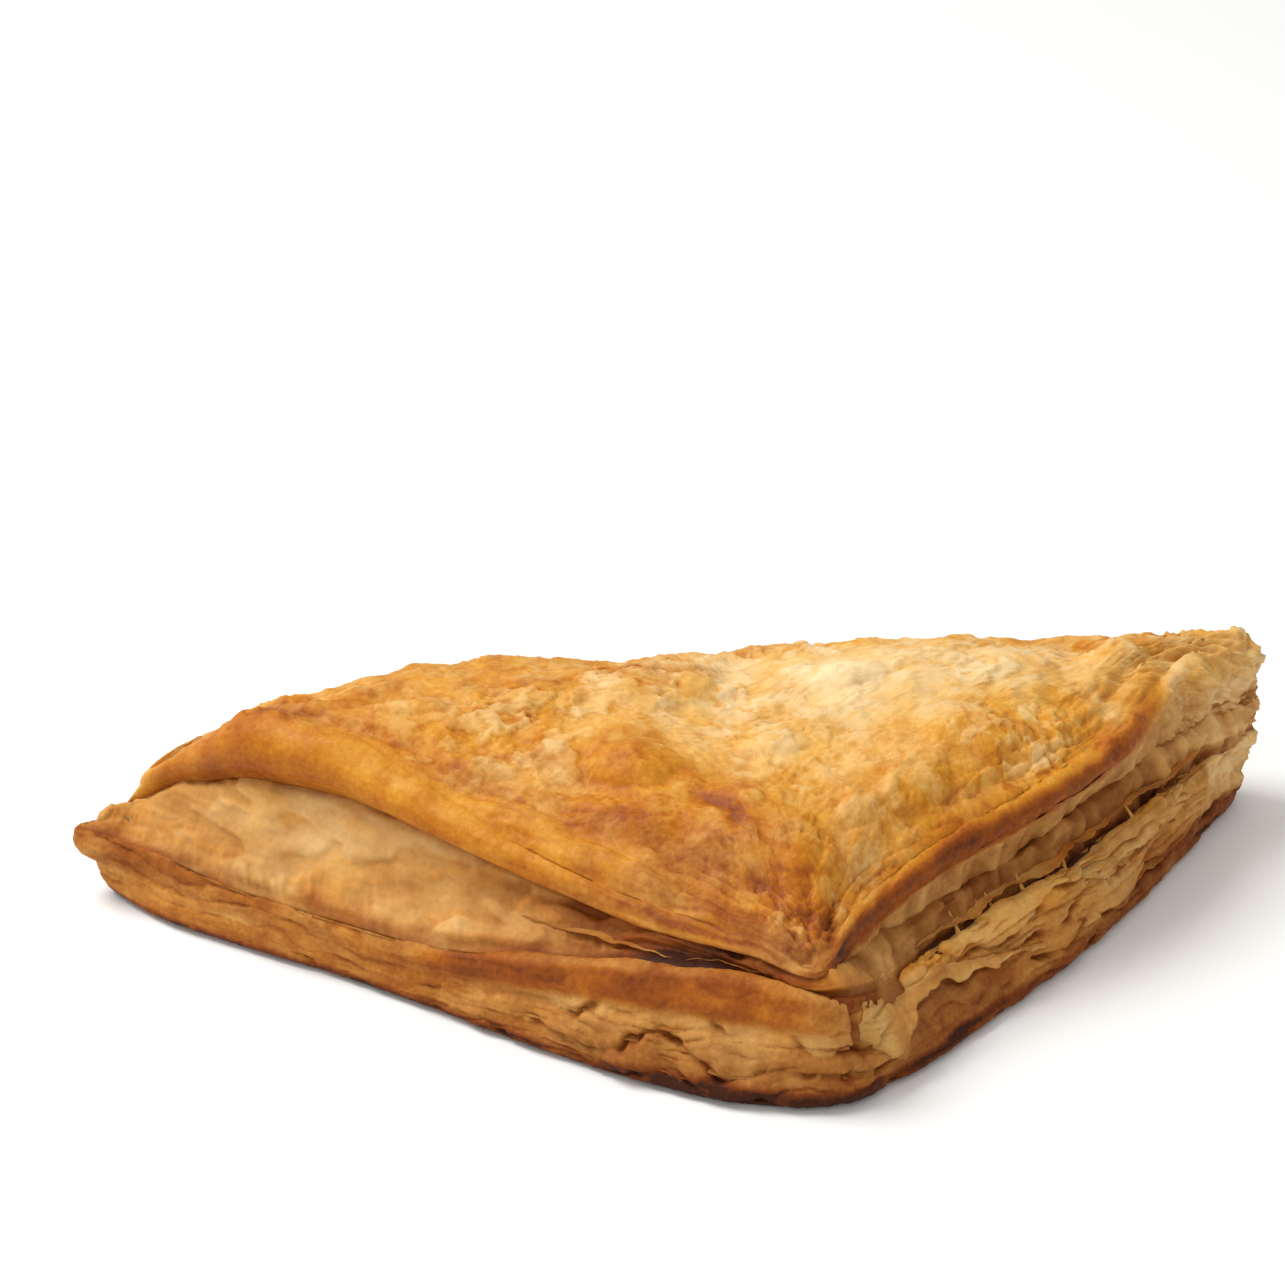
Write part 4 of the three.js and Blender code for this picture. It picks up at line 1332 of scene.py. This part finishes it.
class TURNOVER_OT_stage(bpy.types.Operator):
    """Lays the floor, and sets up the camera and the lights"""
    bl_idname = "turnover.stage"
    bl_label = "Set the stage"

    def execute(self, context):
        scene = context.scene
        half = 3.0      # metres from the middle of the floor to its edge
        under = -2e-4   # so that the sole doesn't flicker against the floor
        mesh = bpy.data.meshes.new("floor")
        corners = [(-half, -half, under), (half, -half, under), (half, half, under), (-half, half, under)]
        mesh.from_pydata(corners, [], [(0, 1, 2, 3)])
        paint = bpy.data.materials.new("matt white board")
        paint.use_nodes = True
        shader = paint.node_tree.nodes["Principled BSDF"]
        shader.inputs["Base Color"].default_value = scene.turnover_colours.floor
        shader.inputs["Roughness"].default_value = 0.9
        mesh.materials.append(paint)
        floor = bpy.data.objects.new("floor", mesh)
        scene.collection.objects.link(floor)

        world = bpy.data.worlds.new("studio")
        world.use_nodes = True
        world.node_tree.nodes["Background"].inputs["Color"].default_value = (1.0, 0.985, 0.96, 1)
        world.node_tree.nodes["Background"].inputs["Strength"].default_value = 0.62
        scene.world = world
        for name, place, size, power in LAMPS:
            light = bpy.data.lights.new(name, "AREA")
            light.size = size
            light.energy = power
            lamp = bpy.data.objects.new(name, light)
            lamp.location = place
            aim(lamp, (0, 0, 0.01))
            scene.collection.objects.link(lamp)

        camera = bpy.data.cameras.new("camera")
        camera.sensor_width = 36.0
        camera.lens = CAMERA_LENS
        camera.clip_end = 20.0
        eye = bpy.data.objects.new("camera", camera)
        eye.location = CAMERA_PLACE
        aim(eye, CAMERA_TARGET)
        scene.collection.objects.link(eye)
        scene.camera = eye
        scene.view_settings.view_transform = "Standard"
        return {"FINISHED"}


def aim(thing, target):
    """Turns a lamp or camera, whose own -Z is its line of sight, to face a point."""
    thing.rotation_euler = (Vector(target) - Vector(thing.location)).to_track_quat("-Z", "Y").to_euler()


class TURNOVER_PT_panel(bpy.types.Panel):
    """Lists the turnover's sizes, colours and pieces"""
    bl_idname = "TURNOVER_PT_panel"
    bl_label = "Turnover"
    bl_space_type = "VIEW_3D"
    bl_region_type = "UI"
    bl_category = "Turnover"

    def draw(self, context):
        for group in (context.scene.turnover_sizes, context.scene.turnover_colours):
            box = self.layout.box()
            for name in group.__annotations__:
                box.prop(group, name)
        for operator in OPERATORS:
            self.layout.operator(operator.bl_idname)


OPERATORS = (TURNOVER_OT_crust, TURNOVER_OT_lower_sheet, TURNOVER_OT_inner_dough, TURNOVER_OT_leaves,
             TURNOVER_OT_stage)
CLASSES = (TurnoverSizes, TurnoverColours, *OPERATORS, TURNOVER_PT_panel)


def register():
    """Adds the classes, and the scene's sizes and colours."""
    for each in CLASSES:
        bpy.utils.register_class(each)
    bpy.types.Scene.turnover_sizes = PointerProperty(type=TurnoverSizes)
    bpy.types.Scene.turnover_colours = PointerProperty(type=TurnoverColours)


def unregister():
    """Takes them away again."""
    del bpy.types.Scene.turnover_colours
    del bpy.types.Scene.turnover_sizes
    for each in reversed(CLASSES):
        bpy.utils.unregister_class(each)


def main():
    """Makes the pieces and the stage."""
    register()
    for operator in (bpy.ops.turnover.crust, bpy.ops.turnover.lower_sheet, bpy.ops.turnover.inner_dough,
                     bpy.ops.turnover.leaves, bpy.ops.turnover.stage):
        operator()


if __name__ == "__main__":
    main()
